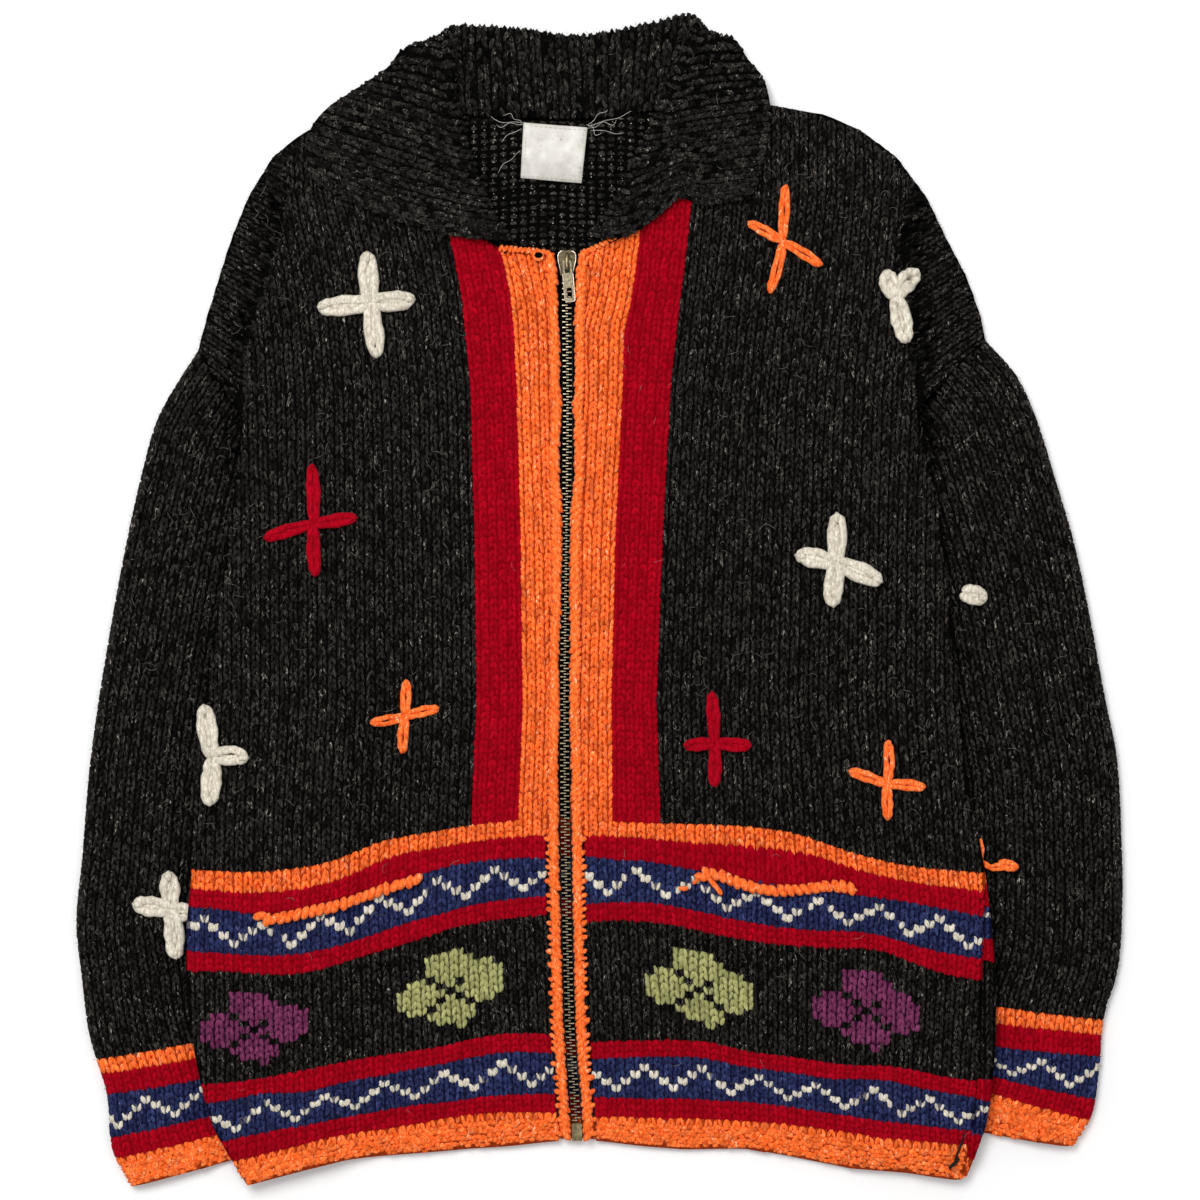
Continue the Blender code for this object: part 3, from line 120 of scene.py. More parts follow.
# how far from the middle of the zip the orange edge starts: height in pixels, millimetres
ZIP_GAP = [(236, 5.6), (262, 5.4), (300, 4.4), (330, 3.7), (388, 3.3), (402, 1.9), (420, 2.8), (450, 3.7),
           (482, 3.2), (505, 1.6), (560, 1.3), (600, 1.3), (628, 1.9), (655, 2.4), (690, 1.8), (712, 1.7),
           (740, 2.6), (780, 2.9), (833, 2.9), (1000, 2.6), (1150, 2.8)]

# ---------------------------------------------------------------- knitting charts
# stitch rows at which the colour bands change, from the hem up
BAND_ROWS = (0, 4, 7, 13, 16, 32, 35, 41, 44, 47)
BANDS_END = BAND_ROWS[-1]
GARTER_END = 3                  # below this row the hems and cuffs are bumpy
# where the BAND_ROWS lie: x, then the height of each band edge, hem first, in pixels
COURSE_MARKS = {
    -1: [(185, 1194, 1172, 1148, 1106, 1085, 969, 949, 905, 887, 868),
         (205, 1190, 1166, 1142, 1101, 1082, 970, 950, 906, 888, 869),
         (239, 1187, 1158, 1136, 1097, 1080, 969, 953, 910, 891, 871),
         (268, 1179, 1151, 1129, 1088, 1075, 973, 954, 914, 891, 870),
         (298, 1171, 1144, 1124, 1092, 1069, 973, 953, 909, 888, 867),
         (327, 1166, 1135, 1119, 1085, 1063, 966, 947, 902, 882, 862),
         (356, 1161, 1132, 1114, 1078, 1058, 957, 940, 893, 872, 851),
         (386, 1156, 1129, 1110, 1074, 1054, 949, 929, 884, 856, 838),
         (415, 1153, 1124, 1104, 1068, 1050, 940, 919, 875, 850, 834),
         (445, 1151, 1118, 1103, 1063, 1046, 929, 912, 866, 846, 829),
         (474, 1150, 1113, 1097, 1056, 1037, 922, 903, 860, 840, 824),
         (512, 1144, 1112, 1094, 1050, 1032, 917, 898, 857, 836, 820),
         (560, 1141, 1112, 1093, 1054, 1034, 913, 894, 858, 834, 817)],
    1: [(576, 1141, 1118, 1097, 1060, 1043, 922, 904, 854, 835, 820),
         (619, 1143, 1116, 1097, 1057, 1040, 919, 901, 860, 835, 821),
         (648, 1146, 1118, 1099, 1056, 1040, 921, 901, 860, 838, 823),
         (678, 1149, 1118, 1097, 1056, 1040, 925, 906, 866, 841, 823),
         (707, 1150, 1119, 1100, 1057, 1040, 932, 913, 872, 843, 824),
         (736, 1149, 1120, 1101, 1065, 1049, 938, 919, 878, 844, 825),
         (766, 1150, 1122, 1103, 1069, 1054, 943, 925, 884, 847, 828),
         (795, 1153, 1125, 1107, 1072, 1056, 945, 928, 887, 850, 832),
         (825, 1159, 1129, 1112, 1078, 1062, 947, 931, 890, 857, 843),
         (854, 1166, 1132, 1116, 1078, 1065, 946, 929, 893, 868, 853),
         (884, 1172, 1137, 1119, 1076, 1062, 948, 934, 897, 875, 860),
         (913, 1174, 1138, 1122, 1085, 1068, 962, 944, 901, 881, 866),
         (942, 1176, 1141, 1126, 1090, 1075, 972, 951, 907, 885, 868),
         (1000, 1186, 1146, 1132, 1100, 1082, 983, 960, 919, 891, 873)],
}
# column lines beside the zip: height, then the line after 4 and after 9 columns, in pixels
WALES = {
    -1: [(190, 488, 438), (248, 500, 452), (296, 510, 461), (323, 513, 464), (389, 516, 470),
         (540, 520, 474), (700, 522, 476), (816, 518, 471), (900, 518, 470), (1140, 529, 481)],
    1: [(190, 643, 692), (240, 639, 687), (298, 631, 680), (331, 624, 676), (389, 622, 670),
         (540, 615, 662), (700, 611, 656), (816, 612, 660), (900, 612, 660), (1140, 623, 671)],
}
# width of the columns beyond the ninth: height, then width, in pixels
WALE_PITCH = {-1: [(250, 9.3), (450, 9.45), (900, 9.65), (1110, 9.95)],
              1: [(250, 9.3), (450, 9.45), (830, 9.9), (900, 10.15), (1110, 9.4)]}
ZIGZAG = (4, 3, 2, 1, 2, 3)     # the navy row that is white, column by column
FLOWER = ("...####....",
          "...#####...",
          "...#######.",
          ".##.#######",
          "####.#.####",
          "#####.#####",
          "####.#.####",
          ".##.###.##.",
          "...#####...",
          "....####...",
          "......#....")
FLOWER_SIZE = 11
# side, first column, first row, yarn
FLOWERS = [(-1, 6, 18, "olive"), (-1, 26, 18, "purple"), (1, 7, 18, "olive"), (1, 24, 18, "purple")]
# how much higher the rows of the back's right edge lie than those of the front: row, pixels
BACK_LIFT = [(0, 4), (4, -14), (7, -3), (13, -2), (16, 2), (32, 21), (35, 20), (41, 10), (47, 4), (60, 0)]

WHICH = {-1: "left", 1: "right"}
YARNS = ("charcoal", "orange", "red", "navy", "white", "purple", "olive")
# darker copies of the yarns for the cloth under the stitches: painted shade between the stitches
PAINTED_SHADES = tuple(name + "_deep" for name in YARNS)
YARN_SLOT = {"charcoal": "charcoal_knit", "orange": "orange_knit", "red": "red_yarn", "white": "cream_yarn"}

COLLAR_CORE = 3.0               # plain part of the ribbed collar's thickness
COLLAR_RIBS = 49
# collar stations, left end to right end. Columns: rib number, then x y z of the seam with
# the neckline, x y z of the roll, x y of the fall's bend, x y z of the cast-off edge,
# roll radius, lean of the roll (90 faces up over the front, -90 faces down behind the neck)
COLLAR = [
    (0.0, -64.0, 236.5, 9.0, -58.0, 239.5, 13.0, -124.0, 241.0, -189.5, 278.0, 0.0, 2.3, 90),
    (2.0, -74.5, 242.5, 9.0, -66.5, 249.0, 14.5, -128.0, 257.0, -195.0, 290.0, 0.0, 2.8, 90),
    (4.0, -86.5, 251.0, 9.0, -74.5, 264.5, 15.5, -133.0, 276.0, -196.5, 304.0, 0.0, 3.1, 90),
    (6.0, -96.0, 263.0, 9.0, -81.5, 280.0, 16.5, -135.0, 296.0, -193.0, 317.0, 0.0, 3.3, 90),
    (8.0, -102.0, 277.5, 9.5, -87.5, 297.0, 17.5, -135.0, 316.0, -182.0, 330.0, 0.0, 3.4, 86),
    (10.0, -106.0, 294.5, 10.5, -93.0, 316.0, 18.5, -132.0, 330.0, -168.0, 339.5, 0.0, 3.4, 76),
    (11.6, -108.0, 311.0, 11.5, -97.0, 334.5, 19.0, -127.0, 344.0, -154.0, 349.0, 4.6, 3.3, 60),
    (13.0, -108.6, 322.0, 12.0, -99.5, 354.0, 18.0, -121.0, 360.0, -141.0, 359.0, 7.5, 3.1, 36),
    (14.0, -106.6, 330.8, 11.0, -100.5, 370.0, 15.0, -118.0, 374.0, -132.5, 369.0, 5.4, 2.9, 8),
    (15.0, -100.5, 329.2, 9.3, -101.5, 380.0, 11.0, -116.0, 378.0, -125.0, 361.0, 3.3, 2.6, -24),
    (15.8, -95.5, 326.8, 7.8, -98.5, 384.0, 8.2, -112.0, 364.0, -115.0, 342.0, 3.3, 2.2, -58),
    (16.6, -89.5, 326.0, 7.0, -92.5, 385.0, 6.2, -99.0, 350.0, -101.0, 322.0, 3.3, 1.9, -80),
    (17.5, -81.5, 325.0, 6.9, -84.0, 384.5, 4.9, -84.0, 348.0, -84.0, 308.0, 3.3, 1.85, -90),
    (21.0, -48.0, 323.6, 6.9, -53.0, 382.5, 4.9, -51.0, 348.0, -50.0, 306.5, 3.3, 1.85, -90),
    (25.0, -15.0, 323.3, 6.9, -17.5, 378.0, 4.9, -16.5, 346.0, -16.0, 306.5, 3.3, 1.85, -90),
    (29.0, 17.0, 325.6, 6.9, 20.0, 383.5, 4.9, 18.0, 350.0, 17.0, 307.0, 3.3, 1.85, -90),
    (31.8, 38.5, 329.6, 6.9, 46.5, 389.5, 5.0, 42.0, 356.0, 39.0, 309.0, 3.3, 1.85, -90),
    (32.8, 46.5, 331.8, 7.4, 55.5, 392.0, 6.4, 55.0, 362.0, 54.0, 324.0, 3.3, 1.9, -80),
    (33.6, 53.5, 333.2, 8.2, 63.0, 391.5, 8.6, 68.0, 372.0, 69.0, 346.0, 3.3, 2.2, -58),
    (34.4, 59.0, 334.2, 9.8, 64.0, 386.0, 11.4, 76.0, 382.5, 81.0, 365.0, 3.3, 2.6, -24),
    (35.2, 61.8, 331.0, 11.5, 61.0, 377.0, 14.5, 77.0, 381.0, 89.0, 376.0, 5.4, 2.9, 8),
    (36.2, 61.5, 322.0, 12.0, 53.5, 362.0, 17.0, 77.0, 367.0, 98.5, 364.0, 7.5, 3.1, 36),
    (37.6, 60.0, 308.0, 11.5, 46.0, 345.5, 18.0, 79.0, 351.0, 108.0, 352.0, 4.6, 3.3, 60),
    (39.4, 57.5, 295.0, 10.5, 38.5, 326.0, 18.0, 79.0, 333.0, 113.0, 337.0, 0.0, 3.4, 76),
    (41.4, 51.5, 281.0, 9.5, 30.5, 307.5, 17.5, 73.0, 315.0, 114.5, 321.0, 0.0, 3.4, 86),
    (43.4, 40.0, 269.0, 9.0, 20.5, 290.0, 16.5, 66.0, 300.0, 112.5, 306.5, 0.0, 3.3, 90),
    (45.2, 26.5, 257.5, 9.0, 11.0, 272.0, 15.5, 58.0, 286.0, 109.5, 293.0, 0.0, 3.1, 90),
    (47.0, 13.0, 248.5, 9.0, 1.5, 256.5, 14.5, 48.0, 272.0, 106.0, 280.0, 0.0, 2.8, 90),
    (49.0, -1.0, 240.0, 9.0, -8.0, 243.5, 13.0, 36.0, 259.0, 100.0, 268.0, 0.0, 2.3, 90),
]
STAND_ROWS = 3
ROLL_ROWS = 4
FALL_ROWS = 5
NECK_LEVEL = 10.4               # lowest height of the collar where it leaves the fronts' neckline

# embroidered crosses: yarn, node, the panel that carries it, centre, then the tip of each petal
# in pixels
CROSSES = [
    ("white", "cross_cream_1", "front_left", (370, 302),
     [(367, 253), (413, 299), (319, 307), (376, 356)]),
    ("red", "cross_red_1", "front_left", (314, 524),
     [(312, 465), (356, 517), (266, 538), (316, 575)]),
    ("orange", "cross_orange_1", "front_right", (782, 241),
     [(785, 185), (748, 222), (821, 265), (769, 292)]),
    ("white", "cross_cream_2", "front_right", (894, 297),
     [(917, 270), (885, 272), (904, 342)]),
    ("white", "cross_cream_3", "front_right", (835, 562),
     [(836, 514), (796, 554), (879, 581), (831, 605)]),
    ("orange", "cross_orange_2", "front_left", (405, 716),
     [(406, 680), (438, 708), (371, 722), (402, 752)]),
    ("white", "cross_cream_4", "front_left", (213, 757),
     [(205, 705), (248, 757), (210, 803)]),
    ("red", "cross_red_2", "front_right", (714, 743),
     [(711, 692), (750, 745), (684, 745), (714, 785)]),
    ("orange", "cross_orange_3", "front_right", (885, 783),
     [(886, 740), (848, 770), (923, 786), (886, 818)]),
    ("white", "cross_cream_5", "sleeve_right", (962, 592),
     [(985, 598)]),
    ("orange", "cross_orange_4", "sleeve_right", (998, 863),
     [(1017, 867)]),
    ("white", "cross_cream_6", "sleeve_left", (170, 908),
     [(168, 872), (134, 903), (192, 911), (175, 957)]),
]


# ---------------------------------------------------------------- small helpers
def to_mm(x, y):
    """Row-frame millimetres of places given in pixels."""
    return (x - PX_ZERO[0]) * SCALE, (PX_ZERO[1] - y) * SCALE


def px(x, y):
    """The point of the row frame at one pixel."""
    return np.array(to_mm(x, y))


def ease(low, high, value):
    f = np.clip((np.asarray(value, float) - low) / (high - low), 0.0, 1.0)
    return f * f * (3.0 - 2.0 * f)


def glide(rows, at, column=1):
    """Smooth curve through the rows of a short table."""
    table = np.asarray(rows, float)
    xs, ys = table[:, 0], table[:, column]
    slopes = np.gradient(ys, xs)
    at = np.clip(np.asarray(at, float), xs[0], xs[-1])
    cell = np.clip(np.searchsorted(xs, at) - 1, 0, len(xs) - 2)
    run = xs[cell + 1] - xs[cell]
    f = (at - xs[cell]) / run
    return ((1 + 2 * f) * (1 - f) ** 2 * ys[cell] + f * (1 - f) ** 2 * run * slopes[cell]
            + f * f * (3 - 2 * f) * ys[cell + 1] + f * f * (f - 1) * run * slopes[cell + 1])


def straight(rows, at):
    table = np.asarray(rows, float)
    return np.interp(at, table[:, 0], table[:, 1])


def along(points, fraction):
    """Point at a share of the length of a smooth line through the points."""
    pts = np.asarray(points, float)
    steps = np.linalg.norm(np.diff(pts, axis=0), axis=1)
    reach = np.concatenate(([0.0], np.cumsum(steps))) / steps.sum()
    axes = [glide(np.column_stack((reach, pts[:, i])), fraction) for i in range(pts.shape[1])]
    return np.stack(axes, axis=-1)


def reach_along(points):
    """Length of a line from its start to each of its points."""
    return np.concatenate(([0.0], np.cumsum(np.linalg.norm(np.diff(points, axis=0), axis=1))))


def spaced(points, count):
    """Points at even lengths along a line of x and y."""
    reach = reach_along(points)
    at = np.linspace(0, reach[-1], count)
    return np.column_stack([np.interp(at, reach, points[:, k]) for k in (0, 1)])


def refined(pixels, count):
    """Line through a few pixels, with this many points on it."""
    marks = np.array([px(*p) for p in pixels])
    at = np.linspace(0, len(marks) - 1, count)
    return np.column_stack([np.interp(at, np.arange(len(marks)), marks[:, k]) for k in (0, 1)])


def laid_on(ground, line, lift):
    """A line of x and y laid over a surface, at a height above it."""
    return [(x, y, float(ground(x, y)) + lift) for x, y in line]


def every_cell(columns, rows):
    """Column and row of each cell of a grid, row by row."""
    c, v = np.meshgrid(columns, rows)
    return np.column_stack((c.ravel(), v.ravel()))


def between(grid, x, y):
    """A grid read between its points, at places counted in columns and rows from its corner."""
    rows, cols = grid.shape[:2]
    x = np.clip(x, 0, cols - 1.001)
    y = np.clip(y, 0, rows - 1.001)
    j, i = x.astype(int), y.astype(int)
    fx, fy = x - j, y - i
    if grid.ndim > 2:
        fx, fy = fx[..., None], fy[..., None]
    return ((grid[i, j] * (1 - fx) + grid[i, j + 1] * fx) * (1 - fy)
            + (grid[i + 1, j] * (1 - fx) + grid[i + 1, j + 1] * fx) * fy)


def unit(vectors):
    """Vectors along the last axis, brought to length one."""
    return vectors / np.maximum(np.linalg.norm(vectors, axis=-1, keepdims=True), 1e-6)


class Outline:
    """A closed outline: distance inside it, and the nearest point on its edge."""

    def __init__(self, points):
        self.points = np.asarray(points, float)

    def look(self, x, y):
        nxt = np.roll(self.points, -1, axis=0)
        x = np.asarray(x, float)
        y = np.asarray(y, float)
        best = np.full(x.shape, 1e9)
        near_x = x.copy()
        near_y = y.copy()
        inside = np.zeros(x.shape, bool)
        for (ax, ay), (bx, by) in zip(self.points, nxt):
            dx, dy = bx - ax, by - ay
            f = np.clip(((x - ax) * dx + (y - ay) * dy) / (dx * dx + dy * dy + 1e-12), 0, 1)
            qx, qy = ax + f * dx, ay + f * dy
            away = np.hypot(x - qx, y - qy)
            closer = away < best
            best = np.where(closer, away, best)
            near_x = np.where(closer, qx, near_x)
            near_y = np.where(closer, qy, near_y)
            if ay != by:
                cross = (ay > y) != (by > y)
                inside ^= cross & (x < ax + (y - ay) * dx / dy)
        return np.where(inside, best, -best), near_x, near_y

    def area(self):
        x, y = self.points[:, 0], self.points[:, 1]
        return abs(float(np.dot(x, np.roll(y, -1)) - np.dot(y, np.roll(x, -1)))) / 2


def line_x(rows, y):
    """Where a pattern line of heights and places lies at a height; both in the row frame."""
    return glide(rows, np.asarray(y, float) - SHIFT[1]) + SHIFT[0]


def crease_line(side, y):
    return line_x(CREASE[side], y)


def lap(x, y, crisp=False):
    """Lap of the body over the shoulder end above each armpit: soft as in the solids, or crisp."""
    x, y = np.asarray(x, float), np.asarray(y, float)
    total = np.zeros(np.broadcast(x, y).shape)
    for side, low, high in ((-1, 120.0, 268.0), (1, 126.0, 230.0)):
        inward = (crease_line(side, y) - x) * side
        rise = ease(low - 40, low - 5, y)
        if crisp:
            rise = rise * ease(high + 34, high - 26, y)
            ridge = ease(-0.8, 1.2, inward) * (1 - ease(8.0, 70.0, inward))
            trough = np.exp(-((inward + 5.0) / 11.0) ** 2) * (inward < 0)
            total = total + rise * (6.5 * ridge - 3.2 * trough * ease(low - 2, low + 14, y))
        else:
            rise = rise * ease(high, low + 12, y)
            total = total + 6.5 * rise * ease(-2.0, 4.0, inward) * (1 - ease(8.0, 62.0, inward))
    return total


class Field:
    """Smoothed height of CAD nodes over a grid, seen from above or from below."""

    def __init__(self, names, step=4.0, soft=2.0, below=False, less=None):
        points, faces = [], []
        for name in names:
            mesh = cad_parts[name].data
            start = len(points)
            points += [v.co / MM for v in mesh.vertices]
            faces += [tuple(start + i for i in f.vertices) for f in mesh.polygons]
        tree = BVHTree.FromPolygons(points, faces)
        flat = np.array([tuple(p) for p in points])
        self.low = flat[:, :2].min(axis=0) - 16
        high = flat[:, :2].max(axis=0) + 16
        self.step = step
        cols, rows = ((high - self.low) / step).astype(int) + 1
        grid = np.full((rows, cols), np.nan)
        way = Vector((0, 0, 1 if below else -1))
        for i in range(rows):
            for j in range(cols):
                at = Vector((self.low[0] + j * step, self.low[1] + i * step, -50.0 if below else 100.0))
                hit = tree.ray_cast(at, way)
                if hit[0] is not None:
                    grid[i, j] = hit[0].z
        if less is not None:
            gx = self.low[0] + np.arange(cols) * step
            gy = self.low[1] + np.arange(rows) * step
            grid = grid - less(*np.meshgrid(gx, gy))
        for _ in range(8):
            known = ~np.isnan(grid)
            total = np.zeros_like(grid)
            count = np.zeros_like(grid)
            for di, dj in ((-1, 0), (1, 0), (0, -1), (0, 1), (-1, -1), (1, 1), (-1, 1), (1, -1)):
                total += np.roll(np.where(known, grid, 0.0), (di, dj), (0, 1))
                count += np.roll(known.astype(float), (di, dj), (0, 1))
            grid = np.where(known | (count == 0), grid, total / np.maximum(count, 1))
        grid = np.where(np.isnan(grid), np.nanmean(grid), grid)
        reach = np.arange(-4, 5)
        kernel = np.exp(-0.5 * (reach / soft) ** 2)
        kernel /= kernel.sum()
        for axis in (0, 1):
            padded = np.pad(grid, [(4, 4) if a == axis else (0, 0) for a in (0, 1)], mode="edge")
            grid = sum(k * np.take(padded, np.arange(grid.shape[axis]) + 4 + r, axis=axis)
                       for k, r in zip(kernel, reach))
        self.grid = grid

    def __call__(self, x, y):
        return between(self.grid, (np.asarray(x, float) - self.low[0]) / self.step,
                       (np.asarray(y, float) - self.low[1]) / self.step)


# ---------------------------------------------------------------- materials
def node(tree, kind, **values):
    made = tree.nodes.new(kind)
    for key, value in values.items():
        if key in made.inputs:
            made.inputs[key].default_value = value
        else:
            setattr(made, key, value)
    return made


def ramp(tree, source, stops):
    made = tree.nodes.new("ShaderNodeValToRGB")
    while len(made.color_ramp.elements) < len(stops):
        made.color_ramp.elements.new(0.5)
    for element, (at, colour) in zip(made.color_ramp.elements, stops):
        element.position = at
        element.color = (*colour, 1.0)
    tree.links.new(source, made.inputs["Fac"])
    return made.outputs["Color"]


def mix(tree, kind, factor, a, b):
    made = tree.nodes.new("ShaderNodeMix")
    made.data_type = "RGBA"
    made.blend_type = kind
    for value, key in ((factor, 0), (a, 6), (b, 7)):
        if isinstance(value, (int, float)):
            made.inputs[key].default_value = value
        elif isinstance(value, tuple):
            made.inputs[key].default_value = (*value, 1.0)
        else:
            tree.links.new(value, made.inputs[key])
    return made.outputs[2]


def wool(name, dark, base, light, fleck, fleck_at=0.64, sheen=0.25, bump=0.55, spec=0.02):
    """Heathered woollen yarn: mottled fibres, fine pale flecks, a matt fuzzy surface."""
    mat = bpy.data.materials.new(name)
    mat.use_nodes = True
    tree = mat.node_tree
    shader = tree.nodes["Principled BSDF"]
    place = node(tree, "ShaderNodeTexCoord").outputs["Object"]
    drawn = node(tree, "ShaderNodeMapping")
    drawn.inputs["Scale"].default_value = (1.0, 0.45, 1.0)
    tree.links.new(place, drawn.inputs["Vector"])
    place = drawn.outputs["Vector"]
    fibres = node(tree, "ShaderNodeTexNoise", Scale=620.0, Detail=4.0, Roughness=0.7)
    patch = node(tree, "ShaderNodeTexNoise", Scale=95.0, Detail=2.0, Roughness=0.6)
    flecks = node(tree, "ShaderNodeTexNoise", Scale=410.0, Detail=2.0, Roughness=0.5, Distortion=1.6)
    for tex in (fibres, patch, flecks):
        tree.links.new(place, tex.inputs["Vector"])
    colour = ramp(tree, fibres.outputs["Fac"], [(0.37, dark), (0.5, base), (0.63, light)])
    shade = ramp(tree, patch.outputs["Fac"], [(0.3, (0.84, 0.84, 0.84)), (0.7, (1.0, 1.0, 1.0))])
    colour = mix(tree, "MULTIPLY", 1.0, colour, shade)
    spots = ramp(tree, flecks.outputs["Fac"], [(fleck_at, (0, 0, 0)), (fleck_at + 0.06, (1, 1, 1))])
    colour = mix(tree, "MIX", spots, colour, fleck)
    tone = node(tree, "ShaderNodeAttribute", attribute_name="tone")
    lighten = node(tree, "ShaderNodeMath", operation="ADD")
    tree.links.new(tone.outputs["Fac"], lighten.inputs[0])
    lighten.inputs[1].default_value = 1.0
    scaled = node(tree, "ShaderNodeVectorMath", operation="SCALE")
    tree.links.new(colour, scaled.inputs[0])
    tree.links.new(lighten.outputs[0], scaled.inputs["Scale"])
    tree.links.new(scaled.outputs[0], shader.inputs["Base Color"])
    shader.inputs["Roughness"].default_value = 0.95
    shader.inputs["Specular IOR Level"].default_value = spec
    shader.inputs["Sheen Weight"].default_value = sheen
    shader.inputs["Sheen Roughness"].default_value = 0.45
    hair = node(tree, "ShaderNodeTexNoise", Scale=1500.0, Detail=3.0, Roughness=0.65, Distortion=0.8)
    tree.links.new(place, hair.inputs["Vector"])
    lift = node(tree, "ShaderNodeBump", Strength=bump, Distance=0.0006)
    tree.links.new(hair.outputs["Fac"], lift.inputs["Height"])
    tree.links.new(lift.outputs["Normal"], shader.inputs["Normal"])
    return mat


def plain(name, base, light, scale, rough, metal=0.0, bump=0.3, sheen=0.0, spec=0.5):
    """Cloth or metal with a fine two-tone grain."""
    mat = bpy.data.materials.new(name)
    mat.use_nodes = True
    tree = mat.node_tree
    shader = tree.nodes["Principled BSDF"]
    place = node(tree, "ShaderNodeTexCoord").outputs["Object"]
    grain = node(tree, "ShaderNodeTexNoise", Scale=scale, Detail=4.0, Roughness=0.65)
    tree.links.new(place, grain.inputs["Vector"])
    colour = ramp(tree, grain.outputs["Fac"], [(0.36, base), (0.66, light)])
    tree.links.new(colour, shader.inputs["Base Color"])
    shader.inputs["Roughness"].default_value = rough
    shader.inputs["Metallic"].default_value = metal
    shader.inputs["Specular IOR Level"].default_value = spec
    shader.inputs["Sheen Weight"].default_value = sheen
    lift = node(tree, "ShaderNodeBump", Strength=bump, Distance=0.0003)
    tree.links.new(grain.outputs["Fac"], lift.inputs["Height"])
    tree.links.new(lift.outputs["Normal"], shader.inputs["Normal"])
    return mat


MATS = {
    "charcoal": wool("charcoal_wool", (0.0022, 0.0020, 0.0018), (0.0120, 0.0108, 0.0096),
                     (0.044, 0.039, 0.034), (0.24, 0.22, 0.19), fleck_at=0.655, sheen=0.02),
    "orange": wool("orange_wool", (0.72, 0.080, 0.010), (0.96, 0.165, 0.026), (1.0, 0.26, 0.072),
                   (1.0, 0.50, 0.28), fleck_at=0.64, sheen=0.04),
    "red": wool("red_wool", (0.23, 0.0008, 0.006), (0.355, 0.0012, 0.010), (0.43, 0.003, 0.015),
                (0.50, 0.008, 0.025), fleck_at=0.72, sheen=0.02),
    "navy": wool("navy_wool", (0.007, 0.009, 0.034), (0.019, 0.025, 0.086), (0.044, 0.056, 0.150),
                 (0.11, 0.125, 0.24), fleck_at=0.67, sheen=0.03),
    "white": wool("white_wool", (0.46, 0.41, 0.32), (0.66, 0.60, 0.49), (0.84, 0.79, 0.68),
                  (0.95, 0.93, 0.88), fleck_at=0.68, sheen=0.05),
    "purple": wool("purple_wool", (0.095, 0.014, 0.048), (0.170, 0.030, 0.090), (0.24, 0.055, 0.13),
                   (0.30, 0.09, 0.18), fleck_at=0.70, sheen=0.04),
    "olive": wool("olive_wool", (0.25, 0.25, 0.085), (0.37, 0.365, 0.145), (0.46, 0.46, 0.21),
                  (0.52, 0.54, 0.28), fleck_at=0.70, sheen=0.04),
}
# painted shade: the same yarns, darker and plainer, for the cloth seen between the stitches
for yarn_name, dark, light in (
        ("charcoal", (0.0012, 0.0012, 0.0012), (0.0035, 0.0032, 0.0028)),
        ("orange", (0.21, 0.021, 0.004), (0.42, 0.055, 0.012)),
        ("red", (0.16, 0.0006, 0.004), (0.25, 0.0010, 0.007)),
        ("navy", (0.004, 0.004, 0.016), (0.008, 0.009, 0.034)),
        ("white", (0.06, 0.06, 0.09), (0.16, 0.15, 0.15)),
        ("purple", (0.015, 0.003, 0.010), (0.03, 0.006, 0.022)),
        ("olive", (0.05, 0.05, 0.02), (0.09, 0.09, 0.04))):
    MATS[f"{yarn_name}_deep"] = plain(f"{yarn_name}_shade", dark, light, 500.0, 0.95, spec=0.0)
MATS.update({
    "tape": plain("black_tape", (0.006, 0.006, 0.006), (0.03, 0.03, 0.03), 900.0, 0.85, spec=0.1),
    "thread": plain("black_thread", (0.004, 0.004, 0.004), (0.018, 0.018, 0.017), 1200.0, 0.8, spec=0.1),
    "brass": plain("antique_brass_metal", (0.12, 0.095, 0.050), (0.34, 0.27, 0.15), 420.0, 0.42,
                   metal=1.0, bump=0.12),
    "patina": plain("dark_brass_metal", (0.030, 0.024, 0.014), (0.13, 0.105, 0.060), 520.0, 0.5,
                    metal=1.0, bump=0.12),
    "tab": plain("grey_brass_metal", (0.10, 0.085, 0.055), (0.26, 0.22, 0.15), 520.0, 0.45,
                 metal=1.0, bump=0.12),
    "rim": plain("worn_brass_metal", (0.50, 0.40, 0.31), (0.78, 0.68, 0.56), 700.0, 0.32,
                 metal=1.0, bump=0.1),
    "teeth": plain("brass_teeth", (0.20, 0.165, 0.10), (0.50, 0.43, 0.29), 700.0, 0.36, metal=1.0, bump=0.1),
    "label": plain("cream_satin", (0.50, 0.475, 0.43), (0.66, 0.635, 0.58), 90.0, 0.45, bump=0.25, sheen=0.1),
    "fray": plain("cream_thread", (0.50, 0.47, 0.41), (0.80, 0.78, 0.73), 900.0, 0.7),
    "fibre": plain("pale_fibre", (0.16, 0.14, 0.12), (0.34, 0.31, 0.27), 900.0, 0.8),
    "pinhole": plain("light_through_the_knit", (0.16, 0.15, 0.13), (0.55, 0.53, 0.48), 300.0, 0.9),
})


# how much single strands of a yarn differ in tone, and the share that is much paler
TONES = {"charcoal": (0.44, 0.035), "orange": (0.14, 0.04), "red": (0.10, 0.0), "navy": (0.20, 0.0),
         "white": (0.06, 0.0), "purple": (0.14, 0.0), "olive": (0.12, 0.0)}


